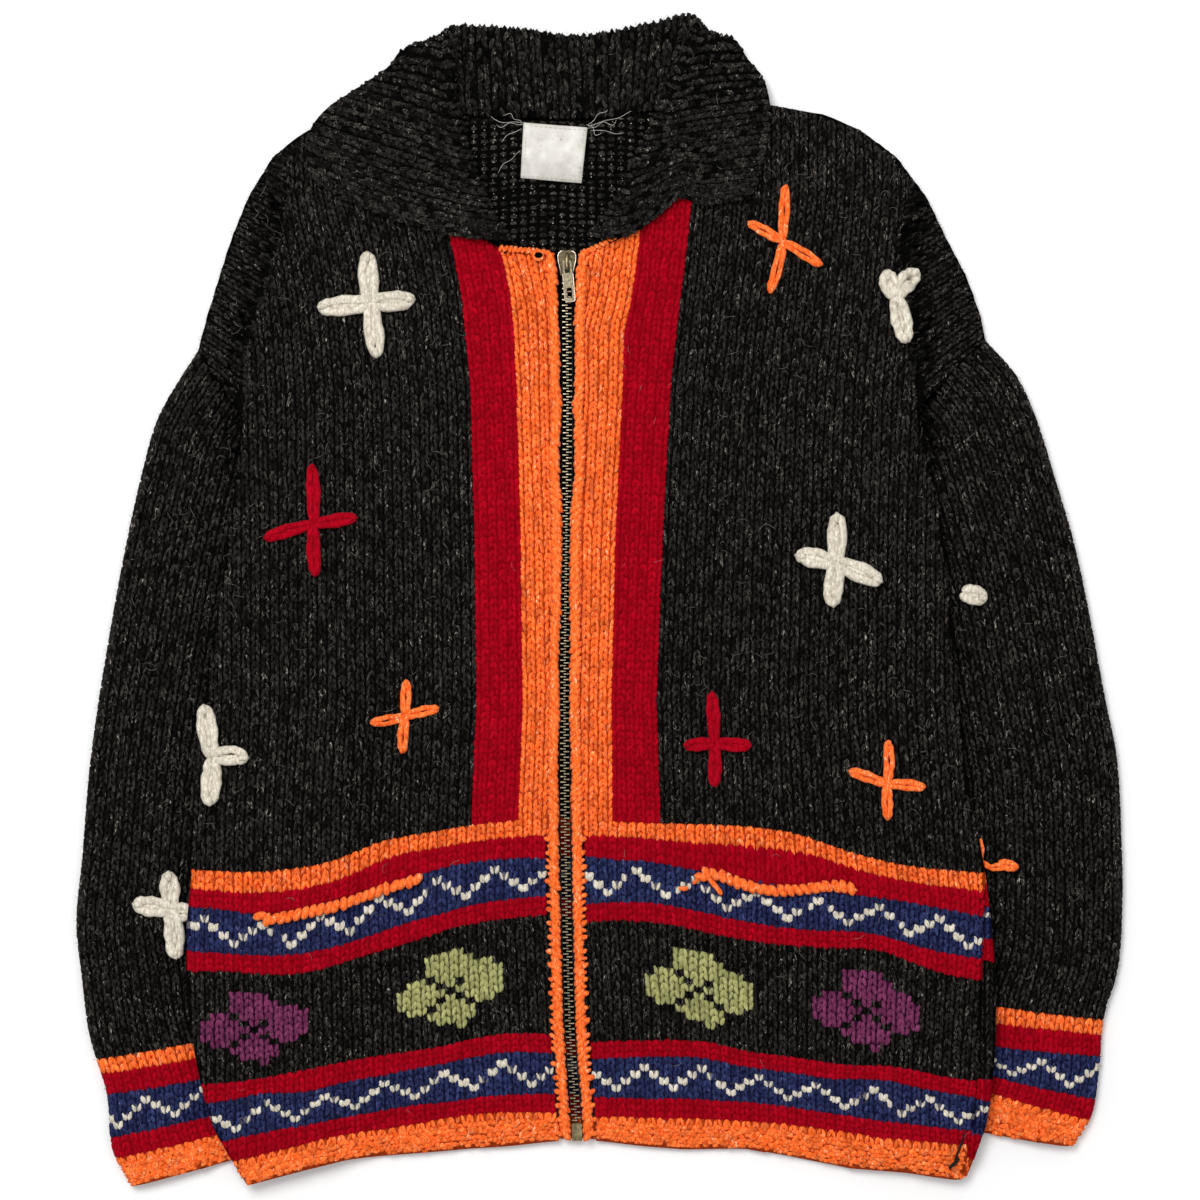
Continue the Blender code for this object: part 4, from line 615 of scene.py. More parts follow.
# ---------------------------------------------------------------- meshes
def make_piece(name, points, faces, mats, index=None, smooth=True, split=False, slot=None, body="body",
               tone=None):
    """A piece from points in millimetres; its bake map is its plan, in two halves where split."""
    mesh = bpy.data.meshes.new(name)
    points = np.asarray(points, float)
    mesh.from_pydata((points * MM).tolist(), [], [tuple(f) for f in np.asarray(faces).tolist()]
                     if isinstance(faces, np.ndarray) else faces)
    for mat in mats:
        mesh.materials.append(MATS[mat])
    if index is not None:
        mesh.polygons.foreach_set("material_index", np.asarray(index, dtype=np.int32))
    mesh.polygons.foreach_set("use_smooth", np.full(len(mesh.polygons), smooth))
    layer = mesh.uv_layers.new(name="OFBake")
    loops = np.zeros(len(mesh.loops), dtype=np.int32)
    mesh.loops.foreach_get("vertex_index", loops)
    low, high = points[:, :2].min(axis=0), points[:, :2].max(axis=0)
    flat = (points[:, :2] - low) / np.maximum(high - low, 1e-6) * 0.98 + 0.01
    uv = flat[loops]
    if split:
        normals = np.zeros(len(mesh.polygons) * 3)
        mesh.polygons.foreach_get("normal", normals)
        totals = np.zeros(len(mesh.polygons), dtype=np.int32)
        mesh.polygons.foreach_get("loop_total", totals)
        down = np.repeat(normals.reshape(-1, 3)[:, 2] < -0.05, totals)
        uv = np.column_stack((uv[:, 0] * 0.5 + 0.5 * down, uv[:, 1]))
    layer.data.foreach_set("uv", uv.ravel())
    if tone is not None:
        shade = mesh.attributes.new("tone", "FLOAT", "FACE")
        shade.data.foreach_set("value", np.asarray(tone, dtype=np.float32))
    obj = bpy.data.objects.new(name, mesh)
    bpy.context.collection.objects.link(obj)
    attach(obj, body)
    return obj


def painted_crease_shade(x, y):
    """Painted shade: darker charcoal wool in the folds beside each crease."""
    total = np.zeros(np.shape(x))
    for side, low, high in ((-1, 60.0, 300.0), (1, 66.0, 270.0)):
        out = (x - crease_line(side, y)) * side
        band = np.exp(-((out - 7.0) / 9.0) ** 2) * (ease(low, low + 50, y) * (1 - ease(high, high + 30, y)))
        total = total - 0.55 * band
    return total


def strands(name, surface, spots, mats, yarn, width, rise, sink, clip=None, floor=None, slot=None,
            tone=0.0):
    """Raised strands on a surface: spots holds the centre line of each as (strand, point, u and v).

    width holds a half width for each strand and point, rise the height of its ridge over the
    surface, and sink the depth of its flanks and ends below the ridge. yarn numbers the
    material of each strand in mats.
    """
    count, knots = spots.shape[:2]
    u, v = spots[..., 0], spots[..., 1]
    centre = surface(u, v)
    du = surface(u + 0.05, v) - surface(u - 0.05, v)
    dv = surface(u, v + 0.05) - surface(u, v - 0.05)
    normal = np.cross(du, dv)
    size = np.linalg.norm(normal, axis=-1, keepdims=True)
    normal = np.where(size > 1e-6, normal / np.maximum(size, 1e-6), np.array([0, 0, 1.0]))
    way = np.gradient(centre, axis=1)
    across = unit(np.cross(normal, way))
    rise = np.broadcast_to(rise, (count, knots))
    sink = np.broadcast_to(sink, (count, knots))
    width = np.broadcast_to(width, (count, knots))
    ridge = centre + normal * rise[..., None]
    left = centre + across * width[..., None] + normal * (rise - sink)[..., None]
    right = centre - across * width[..., None] + normal * (rise - sink)[..., None]
    rings = knots - 2
    points = np.zeros((count, 2 + 3 * rings, 3))
    points[:, 0] = centre[:, 0] + normal[:, 0] * (rise - sink)[:, 0, None]
    points[:, 1] = centre[:, -1] + normal[:, -1] * (rise - sink)[:, -1, None]
    for k in range(rings):
        points[:, 2 + 3 * k] = left[:, k + 1]
        points[:, 3 + 3 * k] = ridge[:, k + 1]
        points[:, 4 + 3 * k] = right[:, k + 1]
    pattern = [(0, 3, 2), (0, 4, 3)]
    for k in range(rings - 1):
        a = 2 + 3 * k
        b = a + 3
        pattern += [(a, a + 1, b + 1), (a, b + 1, b), (a + 1, a + 2, b + 2), (a + 1, b + 2, b + 1)]
    a = 2 + 3 * (rings - 1)
    pattern += [(1, a, a + 1), (1, a + 1, a + 2)]
    if clip is not None:
        flat = points.reshape(-1, 3)
        inside, near_x, near_y = clip.look(flat[:, 0], flat[:, 1])
        out = inside < 0
        flat[out, 0] = near_x[out]
        flat[out, 1] = near_y[out]
        points = flat.reshape(points.shape)
    if floor is not None:
        points[..., 2] = np.maximum(points[..., 2], floor)
    each = points.shape[1]
    faces = (np.array(pattern)[None, :, :] + (np.arange(count) * each)[:, None, None]).reshape(-1, 3)
    yarn = np.asarray(yarn)
    spread, pale = np.array([TONES[mat] for mat in mats])[yarn].T
    shade = np.clip(RNG.normal(0, 1, count), -1.6, 2.2) * spread + tone
    is_charcoal = np.array([mat == "charcoal" for mat in mats])[yarn]
    # charcoal strands beside the creases are darkened as painted shade
    shade = shade + is_charcoal * painted_crease_shade(centre[:, knots // 2, 0], centre[:, knots // 2, 1])
    is_pale = RNG.random(count) < pale
    paler = shade + RNG.uniform(0.6, 2.4, count) * (pale < 0.035) + 0.25
    shade = np.where(is_pale, paler, shade)
    return make_piece(name, points.reshape(-1, 3), faces, mats, np.repeat(yarn, len(pattern)), slot=slot,
                      tone=np.repeat(shade, len(pattern)))


def knit(name, surface, cells, yarn, fat=1.0, fine=True, clip=None, floor=None, slot=None, rise=0.55,
         tone=0.0):
    """Knit stitches: cells holds the column and row of each, yarn the colour of its two legs.

    fat widens the legs, rise is the height of their ridge, and without fine a leg has fewer points.
    """
    cells = np.asarray(cells, float)
    count = len(cells)
    fat = np.asarray(fat, float).reshape(-1, 1, 1)
    marks = np.array([0.0, 0.2, 0.52, 0.84, 1.0]) if fine else np.array([0.0, 0.5, 1.0])
    wide = np.array([0.0, 1.15, 1.38, 1.2, 0.0]) if fine else np.array([0.0, 1.5, 0.0])
    high = np.array([-0.7, 0.15, 0.6, 0.2, -1.3]) if fine else np.array([-0.6, 0.6, -1.1])
    low = np.array([0.9, 1.9, 2.3, 1.8, 0.6]) if fine else np.array([0.9, 2.1, 0.7])
    spots = np.zeros((count, 2, len(marks), 2))
    jolt = RNG.normal(0, 1, (count, 2, 4))
    wave = RNG.normal(0, 1, (count, 2))
    for leg, side in enumerate((-1.0, 1.0)):
        spread = (0.10 + 0.31 * marks[None, :] ** 0.75) * (1 + 0.06 * jolt[:, leg, 0, None])
        spots[:, leg, :, 0] = cells[:, 0, None] + 0.5 + side * spread + 0.035 * wave[:, 0, None]
        spots[:, leg, :, 1] = (cells[:, 1, None] - 0.24 + 1.34 * marks[None, :]
                               + 0.05 * jolt[:, leg, 1, None] + 0.05 * wave[:, 1, None])
    width = wide[None, None, :] * (1 + 0.08 * jolt[:, :, 2, None]) * fat
    ridge = (high + rise - 0.55)[None, None, :] + 0.18 * jolt[:, :, 3, None]
    flat = spots.reshape(-1, len(marks), 2)
    return strands(name, surface, flat, YARNS, np.asarray(yarn).reshape(-1),
                   width.reshape(-1, len(marks)), ridge.reshape(-1, len(marks)), low[None, :],
                   clip, floor, slot, tone)


def purl(name, surface, cells, yarn, fat=1.0, clip=None, floor=None, slot=None, rise=0.4, tone=0.0,
         span=1.24, arc=0.34):
    """Purl bumps: an arch across each column, span columns wide and arc rows high."""
    cells = np.asarray(cells, float)
    count = len(cells)
    marks = np.array([0.0, 0.22, 0.5, 0.78, 1.0])
    spots = np.zeros((count, len(marks), 2))
    jolt = RNG.normal(0, 1, (count, 4))
    spots[:, :, 0] = cells[:, 0, None] + 0.5 + span * (marks[None, :] - 0.5) + 0.05 * jolt[:, 0, None]
    arch = np.sin(marks * math.pi) * arc
    spots[:, :, 1] = cells[:, 1, None] + 0.28 + arch[None, :] + 0.07 * jolt[:, 1, None]
    wide = np.array([0.0, 1.35, 1.6, 1.35, 0.0])
    high = np.array([-0.9, 0.1, 0.5, 0.1, -0.9])
    width = wide[None, :] * (1 + 0.1 * jolt[:, 2, None]) * np.asarray(fat, float).reshape(-1, 1)
    ridge = (high + rise - 0.4)[None, :] + 0.2 * jolt[:, 3, None]
    low = np.array([0.8, 1.6, 1.8, 1.6, 0.8])
    return strands(name, surface, spots, YARNS, yarn, width, ridge, low[None, :], clip, floor, slot, tone)


def shell(name, upper, lower, mats, index, keep=None, slot=None):
    """Closed thin shell between two grids of points, on the cells that are kept."""
    rows, cols = upper.shape[:2]
    if keep is None:
        keep = np.ones((rows - 1, cols - 1), bool)
    number = np.arange(rows * cols).reshape(rows, cols)
    half = rows * cols
    faces, paint = [], []

    def held(i, j):
        return 0 <= i < rows - 1 and 0 <= j < cols - 1 and keep[i, j]

    for i in range(rows - 1):
        for j in range(cols - 1):
            if not keep[i, j]:
                continue
            a, b, c, d = number[i, j], number[i, j + 1], number[i + 1, j + 1], number[i + 1, j]
            faces.append((a, b, c, d))
            faces.append((half + a, half + d, half + c, half + b))
            paint += [index[i, j]] * 2
            for (p, q), other in (((a, b), (i - 1, j)), ((b, c), (i, j + 1)),
                                  ((c, d), (i + 1, j)), ((d, a), (i, j - 1))):
                if not held(*other):
                    faces.append((p, half + p, half + q, q))
                    paint.append(index[i, j])
    points = np.concatenate((upper.reshape(-1, 3), lower.reshape(-1, 3)))
    used = np.unique([i for f in faces for i in f])
    renumber = np.zeros(len(points), dtype=int)
    renumber[used] = np.arange(len(used))
    faces = [tuple(int(renumber[i]) for i in f) for f in faces]
    return make_piece(name, points[used], faces, mats, paint, split=True, slot=slot)


# ---------------------------------------------------------------- where stitches lie
class Spread:
    """Surface of a panel: a grid of points read between its columns and rows."""

    def __init__(self, points, low, per):
        self.points = points
        self.low = low
        self.per = per

    def __call__(self, c, v):
        return between(self.points, (np.asarray(c, float) - self.low[0]) * self.per[0],
                       (np.asarray(v, float) - self.low[1]) * self.per[1])


def fine_grid(columns, rows, per):
    """Grid over a range of columns and rows, with so many points for each."""
    return np.meshgrid(np.linspace(*columns, (columns[1] - columns[0]) * per + 1),
                       np.linspace(*rows, (rows[1] - rows[0]) * per + 1))


def panel_surface(plan, height, columns, rows, per=3):
    """Surface of a panel, from the plan of its stitches and its height over that plan."""
    x, y = plan(*fine_grid(columns, rows, per))
    return Spread(np.dstack((x, y, height(x, y))), (columns[0], rows[0]), (per, per))


def smooth_courses(table):
    """A course table read every 5 pixels and evened out: its x, then each band edge."""
    rows = np.asarray(table, float)
    xs = np.arange(rows[0, 0], rows[-1, 0] + 1, 5.0)
    reach = np.arange(-6, 7)
    kernel = np.exp(-0.5 * (reach / 2.6) ** 2)
    kernel /= kernel.sum()
    out = [xs]
    for k in range(1, rows.shape[1]):
        line = np.pad(np.interp(xs, rows[:, 0], rows[:, k]), 6, mode="reflect", reflect_type="odd")
        out.append(np.convolve(line, kernel, mode="valid"))
    return np.array(out)


COURSES = {side: smooth_courses(table) for side, table in COURSE_MARKS.items()}
ROWS_ABOVE = 7.0                # height in pixels of a row above the bands


def course_px(side, v, x):
    """Height in pixels of a stitch row at a place across the front."""
    table = COURSES[side]
    edges = np.array([np.interp(x, table[0], table[k]) for k in range(1, len(table))])
    v = np.asarray(v, float)
    cell = np.clip(np.searchsorted(BAND_ROWS, v, side="right") - 1, 0, len(BAND_ROWS) - 2)
    low = np.take_along_axis(edges, cell[None], 0)[0]
    high = np.take_along_axis(edges, cell[None] + 1, 0)[0]
    start = np.take(BAND_ROWS, cell)
    stop = np.take(BAND_ROWS, cell + 1)
    inside = low + (high - low) * (v - start) / (stop - start)
    return np.where(v > BANDS_END, edges[-1] - (v - BANDS_END) * ROWS_ABOVE, inside)


def wale_px(side, u, y):
    """Place in pixels across the front of a column line, counted out from the zip."""
    table = np.asarray(WALES[side], float)
    four = np.interp(y, table[:, 0], table[:, 1])
    nine = np.interp(y, table[:, 0], table[:, 2])
    far = straight(WALE_PITCH[side], y)
    return np.where(u <= 9, four + (u - 4) * (nine - four) / 5, nine + side * (u - 9) * far)


def front_plan(side):
    def plan(c, v):
        u = c * side
        y = np.full(np.shape(c), 600.0)
        x = wale_px(side, u, y)
        for _ in range(6):
            y = course_px(side, v, x)
            x = wale_px(side, u, y)
        return to_mm(x, y)
    return plan


def shifted(points):
    return [tuple(np.asarray(p, float) + SHIFT) for p in points]


def zip_x(y):
    return line_x(ZIP_LINE, y)


def zip_gap(y):
    """Millimetres from the middle of the zip to the orange edge beside it."""
    return straight(ZIP_GAP, PX_ZERO[1] - np.asarray(y, float) / SCALE)


def seed_spots(surface, seeds):
    return surface(seeds[:, 0] + 0.5, seeds[:, 1] + 0.3)


def middles(surface, cells):
    return surface(cells[:, 0] + 0.5, cells[:, 1] + 0.5)


def seeded(surface, outline, columns, rows):
    """Fine seed bumps, four a stitch, wherever they lie inside the outline."""
    cells = every_cell(np.arange(*columns), np.arange(*rows)).astype(float)
    seeds = np.concatenate([cells + aside for aside in ((-0.25, -0.3), (0.25, -0.2), (0.0, 0.2), (0.5, 0.3))])
    seeds += RNG.normal(0, 0.05, seeds.shape)
    middle = seed_spots(surface, seeds)
    return seeds[outline.look(middle[:, 0], middle[:, 1])[0] > 0.2]


ROPE_TOP = float(px(0, 833)[1])      # above it the orange columns reach the zip


def side_line(side, strip=True):
    """Side edge of a panel, hem first; the right front's is set in by the strip of back that shows."""
    rows = SIDE[side]
    ys = np.linspace(rows[0][0], rows[-1][0], 60)
    xs = glide(rows, ys)
    if side > 0 and strip:
        xs = xs - np.where(ys < SEAM_STRIP[-1][0], straight(SEAM_STRIP, ys), 0.0)
    return list(zip(xs, ys))


def front_outline(side):
    ys = np.linspace(-363, 234, 60)
    gap = np.where(ys + SHIFT[1] < ROPE_TOP, 12.6, 3.7)
    inner = list(zip(glide(ZIP_LINE, ys) + side * gap, ys))
    body = [(x, y) for y, x in (ARMHOLE[side])]
    if side < 0:
        ring = inner + NECK[-1][::-1] + SHOULDER[-1][::-1][1:] + body[::-1][1:]
        ring += side_line(-1)[::-1][1:] + HEM[-1][1:-1]
    else:
        ring = inner + NECK[1] + SHOULDER[1][1:] + body[::-1][1:]
        ring += side_line(1)[::-1][1:] + HEM[1][::-1][1:-1]
    return Outline(shifted(ring))


def crease_ring(side):
    return [(x, y) for y, x in (CREASE[side])]


def shoulder_end(side):
    """Outline of the end of a shoulder, beyond the crease."""
    line = crease_ring(side)
    rim = SHOULDER[-1] if side < 0 else SHOULDER[1][::-1]
    top = line[-1]
    rim = [p for p in rim if p[1] < top[1] and abs(p[0]) > abs(top[0])]
    arm = [(x, y) for y, x in (ARMHOLE[side])]
    return Outline(shifted([top] + rim[::-1] + arm[::-1][1:] + line[1:-1]))


def back_outline():
    ring = [(x, y + 1.6) for x, y in HEM[-1]] + [(x, y + 1.6) for x, y in HEM[1]]
    ring += side_line(1, strip=False)
    ring += [(x, y) for y, x in ARMHOLE[1][1:]] + SHOULDER[1][::-1][1:]
    ring += NECK_BACK[::-1][1:] + SHOULDER[-1][::-1][1:]
    ring += [(x, y) for y, x in ARMHOLE[-1][::-1][1:]] + side_line(-1)[::-1][1:-1]
    return Outline(shifted(ring))


def sleeve_lines(side):
    """Outer fold from the cuff up, evened out, and the sleeve's outline."""
    outer = SLEEVE_OUT[side]
    inner = SLEEVE_IN[side]
    arm = ARMHOLE[side]
    fold = np.array([along(outer, f) for f in np.linspace(1, 0, 120)])
    under = [(0.5 * (arm[0][1] + inner[0][0]) + side * 3, 0.5 * arm[0][0] + 4)]
    ring = [tuple(p) for p in fold] + [(x, y) for y, x in arm[::-1][1:]] + under
    ring += [tuple(along(inner, f)) for f in np.linspace(0, 1, 30)]
    return fold + SHIFT, Outline(shifted(ring))


def crease_depth(rows, x, y):
    """Listed creases: x, y, direction in degrees, half length, half width, height in mm."""
    total = np.zeros(np.shape(x))
    for cx, cy, turn, long, wide, high in rows:
        c, s = math.cos(math.radians(turn)), math.sin(math.radians(turn))
        a = ((x - cx) * c + (y - cy) * s) / long
        b = ((y - cy) * c - (x - cx) * s) / wide
        total = total + high * np.exp(-a * a - b * b)
    return total


# creases seen on the fronts
CREASES = [
    (-214, 186, 60, 60, 7, -1.8), (-228, 215, 62, 50, 6, 1.6), (-236, 150, -40, 34, 6, 1.4),
    (206, 178, -62, 60, 7, -1.8), (222, 208, -64, 50, 6, 1.6), (222, 140, 42, 34, 6, 1.4),
    (-256, -20, 84, 70, 7, 1.2), (246, -120, 86, 60, 7, 1.2),
    (-244, -330, 66, 40, 8, 1.2), (238, -330, -72, 40, 8, 1.0),
]


def fan_plan(side):
    """Wales of a shoulder end, turning about a point beside it."""
    turn_x, turn_y = FAN[side]

    def plan(c, v):
        reach = 330 - side * 9.8 * c
        angle = np.radians(30 + 0.92 * v)
        x = turn_x - side * reach * np.cos(angle)
        y = turn_y - reach * np.sin(angle)
        return to_mm(x, y)
    return plan


def front_height(field, outline):
    """Height of a front: the solid's form, listed creases and soft rounded edges."""
    drop, radius = 3.4, 5.0

    def height(x, y):
        inside = outline.look(x, y)[0]
        f = np.clip(inside / radius, 0, 1)
        fall = drop * (1 - np.sqrt(np.maximum(1 - (1 - f) ** 2, 0)))
        # the edge is flatter beside the zip and in the armpit
        fall = fall * (0.35 + 0.65 * ease(12, 24, np.abs(x - zip_x(y))))
        arm = ease(96, 118, y) * (1 - ease(168, 186, y)) * ease(190, 206, np.abs(x))
        fall = fall * (1 - 0.75 * arm * (1 - ease(0, 18, np.abs(x) - 246)))
        return field(x, y) + lap(x, y, crisp=True) + crease_depth(CREASES, x, y) * ease(0, 14, inside) - fall
    return height


def cells_inside(surface, outline, columns, rows, slack=0.0):
    """The stitches whose middle lies inside an outline, (column, row) each, and their mask."""
    c, v = np.meshgrid(np.arange(columns[0], columns[1]), np.arange(rows[0], rows[1]))
    middle = surface(c + 0.5, v + 0.5)
    inside = outline.look(middle[..., 0], middle[..., 1])[0] > -slack
    return np.column_stack((c[inside], v[inside])), inside


def settled(points, keep, outline, near):
    """Grid points of a shell, with those at the ragged edge of the kept cells moved to the outline."""
    flat = points.reshape(-1, 3)
    inside, near_x, near_y = outline.look(flat[:, 0], flat[:, 1])
    pad = np.pad(keep, 1)
    around = pad[1:, 1:].astype(int) + pad[:-1, 1:] + pad[1:, :-1] + pad[:-1, :-1]
    edge = ((around > 0) & (around < 4)).ravel()
    move = (inside < 0) | (edge & (inside < near))
    flat[move, 0] = near_x[move]
    flat[move, 1] = near_y[move]
    return flat.reshape(points.shape)


def base_sheet(name, surface, outline, columns, rows, colour, depth, under):
    """The closed thin shell under a panel's stitches, a cell for each stitch, coloured in the yarns'
    painted-shade copies.
    """
    cells, keep = cells_inside(surface, outline, columns, rows, slack=0.6)
    c, v = np.meshgrid(np.arange(columns[0], columns[1] + 1), np.arange(rows[0], rows[1] + 1))
    upper = settled(surface(c, v), keep, outline, 5.5)
    upper[..., 2] -= depth
    lower = upper.copy()
    lower[..., 2] = under(upper[..., 0], upper[..., 1], upper[..., 2])
    index = np.zeros(keep.shape, int)
    for i in range(keep.shape[0]):
        for j in range(keep.shape[1]):
            if keep[i, j]:
                index[i, j] = colour(columns[0] + j, rows[0] + i)
    return shell(name, upper, lower, PAINTED_SHADES, index, keep, "charcoal_knit"), cells


def yarn_number(name):
    return YARNS.index(name)


def band_yarn(v, column, side=0):
    """Yarn of a stitch in the two striped bands, or none outside them."""
    for start, stop, name in ((-9, 4, "orange"), (4, 7, "red"), (7, 13, "navy"), (13, 16, "red"),
                              (32, 35, "red"), (35, 41, "navy"), (41, 44, "red"), (44, 47, "orange")):
        if start <= v < stop:
            u = -column - 1 if side < 0 else column
            if name == "navy" and ZIGZAG[u % 6] == v - start:
                return "white"
            return name
    return None


def front_yarn(side):
    def colour(c, v):
        u = c if side > 0 else -c - 1
        name = band_yarn(v, c, side)
        if name is None and v < BANDS_END:
            name = "charcoal"
            for which, first, row, yarn in FLOWERS:
                j = u - first if which > 0 else first + FLOWER_SIZE - 1 - u
                i = row + FLOWER_SIZE - 1 - v
                if which == side and 0 <= j < FLOWER_SIZE and 0 <= i < FLOWER_SIZE and FLOWER[i][j] == "#":
                    name = yarn
        elif name is None:
            name = "orange" if u < 4 else "red" if u < 9 else "charcoal"
        return yarn_number(name)
    return colour


# ---------------------------------------------------------------- the fronts
def build_front(side):
    """One front with its stitches; gives the height of its cloth."""
    which = WHICH[side]
    outline = front_outline(side)
    end = shoulder_end(side)
    field = Field([f"front_{which}", f"front_edge_{which}"], less=lap)
    columns = (-42, 3) if side < 0 else (-3, 48)
    rows = (-4, 168)
    height = front_height(field, outline)
    surface = panel_surface(front_plan(side), height, columns, rows)
    colour = front_yarn(side)

    def under(x, y, top):
        return np.minimum(field(x, y) - WALL + 0.5, top - 1.4)

    # cells beside the zip take the charcoal painted shade, the others the painted shade of their own yarn
    def shade(c, v):
        x, y, _ = surface(c + 0.5, v + 0.5)
        return 0 if abs(x - zip_x(y)) < zip_gap(y) + 6.0 else colour(c, v)

    sheet, cells = base_sheet(f"front_{which}_cloth", surface, outline, columns, rows, shade, 1.5, under)
    middle = middles(surface, cells)
    beyond = end.look(middle[:, 0], middle[:, 1])[0] > 0
    beyond |= np.abs(middle[:, 0] - zip_x(middle[:, 1])) < zip_gap(middle[:, 1]) + 6.3
    cells = cells[~beyond]
    yarn = np.array([[colour(c, v)] * 2 for c, v in cells])
    white = yarn[:, 0] == yarn_number("white")
    fat = np.where(white, RNG.choice([0.85, 1.25, 1.5], len(cells), p=[0.2, 0.4, 0.4]), 1.0)
    fat = np.where(yarn[:, 0] == 0, RNG.uniform(0.76, 1.0, len(cells)), fat)
    fat = np.where(yarn[:, 0] == yarn_number("red"), 1.14, fat)
    fat = np.where((yarn[:, 0] == yarn_number("navy")) | (yarn[:, 0] > 4), 1.1, fat)
    lost = white & (RNG.random(len(cells)) < 0.13)
    yarn[lost, RNG.integers(0, 2, lost.sum())] = yarn_number("navy")
    plain_rows = cells[:, 1] >= GARTER_END
    tops = knit(f"front_{which}_stitches", surface, cells[plain_rows], yarn[plain_rows], fat=fat[plain_rows],
                clip=outline, slot="charcoal_knit")
    fan_columns, fan_rows = (-1, 30) if side < 0 else (-30, 1), (0, 54)
    turned = panel_surface(fan_plan(side), height, fan_columns, fan_rows)
    far, _ = cells_inside(turned, end, fan_columns, fan_rows, slack=1.0)
    shoulder = knit(f"front_{which}_shoulder", turned, far, np.zeros((len(far), 2), int), clip=outline,
                    fat=RNG.uniform(0.74, 0.98, len(far)), slot="charcoal_knit")
    seeds = seeded(surface, outline, columns, (rows[0], GARTER_END))
    spots = seed_spots(surface, seeds)
    seeds = seeds[np.abs(spots[:, 0] - zip_x(spots[:, 1])) > zip_gap(spots[:, 1]) + 7.6]
    hem = purl(f"front_{which}_hem", surface, seeds, np.ones(len(seeds), int), span=0.6, arc=0.3,
               fat=RNG.uniform(0.95, 1.35, len(seeds)), slot="orange_knit")
    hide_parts(f"front_{which}")
    area = outline.area() * 1e-6
    return lambda x, y: field(x, y) + lap(x, y, crisp=True)


# ---------------------------------------------------------------- the back
def back_plan(c, v):
    """The rows of the back droop like those of the fronts that lie on it."""
    x = np.asarray(c, float) * WALE + MIDDLE_X + SHIFT[0]
    v = np.asarray(v, float) + 0 * x
    across = x / SCALE + PX_ZERO[0]
    share = ease(548, 588, across)
    y = course_px(-1, v, across) * (1 - share) + course_px(1, v, across) * share
    y = y - straight(BACK_LIFT, v) * ease(930, 962, across)
    return x, to_mm(across, y)[1]


def build_back():
    """The back with its stitches on both faces; gives the height of its inside."""
    outline = back_outline()
    top = Field(["back"])
    low = Field(["back"], below=True)
    columns, rows = (-40, 46), (-2, 160)

    def height(x, y):
        f = np.clip(outline.look(x, y)[0] / 4.0, 0, 1)
        return low(x, y) + 0.1 + 1.4 * (1 - np.sqrt(np.maximum(1 - (1 - f) ** 2, 0)))

    face = panel_surface(back_plan, height, columns, rows, per=2)

    def faced_down(c, v):
        return face(-np.asarray(c), v)

    def colour(c, v):
        return yarn_number(band_yarn(v, c) or "charcoal")

    def under(x, y, _):
        return np.maximum(low(x, y) + 0.4, 0.4)

    inner = panel_surface(back_plan, top, columns, rows, per=2)
    sheet, cells = base_sheet("back_cloth", inner, outline, columns, rows, colour, 1.2, under)
    flipped = np.column_stack((-cells[:, 0] - 1, cells[:, 1]))
    yarn = np.array([[colour(c, v)] * 2 for c, v in cells])
    stitches = knit("back_stitches", faced_down, flipped, yarn, fine=False, clip=outline, floor=FLOOR,
                    slot="charcoal_knit", rise=-0.05)
    # purl side that shows inside the neck
    spots = middles(inner, cells)
    shows = (spots[:, 1] > 225) & (spots[:, 0] > -125) & (spots[:, 0] < 80)
    seen = cells[shows]
    bumps = purl("back_inside", inner, seen, np.zeros(len(seen), int), clip=outline, slot="charcoal_knit",
                 rise=0.1, tone=0.5, span=0.9, arc=0.24, fat=1.12)
    # knit side that shows past the fronts, beside and below them
    edge = (outline.look(spots[..., 0], spots[..., 1])[0] < 15) & (spots[:, 1] < -160)
    rim = knit("back_rim", inner, cells[edge], yarn[edge], clip=outline, slot="charcoal_knit", rise=0.2)
    # small pale glints between the purl bumps inside the neck, each a flat diamond
    spots = inner(seen[:, 0] + 0.5, seen[:, 1] + 0.02)
    spots = spots[RNG.random(len(spots)) < 0.45]
    glints, sides = [], []
    for x, y, z in spots + RNG.normal(0, 0.5, spots.shape) * (1, 1, 0):
        size = RNG.uniform(0.22, 0.5)
        start = len(glints)
        z = z + 1.1
        glints += [(x + size, y, z), (x, y + size, z), (x - size, y, z), (x, y - size, z),
                   (x, y, z + size * 0.5), (x, y, z - size * 0.5)]
        for k in range(4):
            a, b = start + k, start + (k + 1) % 4
            sides += [(a, b, start + 4), (b, a, start + 5)]
    holes = make_piece("back_pinholes", glints, sides, ["pinhole"], smooth=False, slot="charcoal_knit")
    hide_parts("back")
    round(outline.area() * 1e-6, 4)
    return top


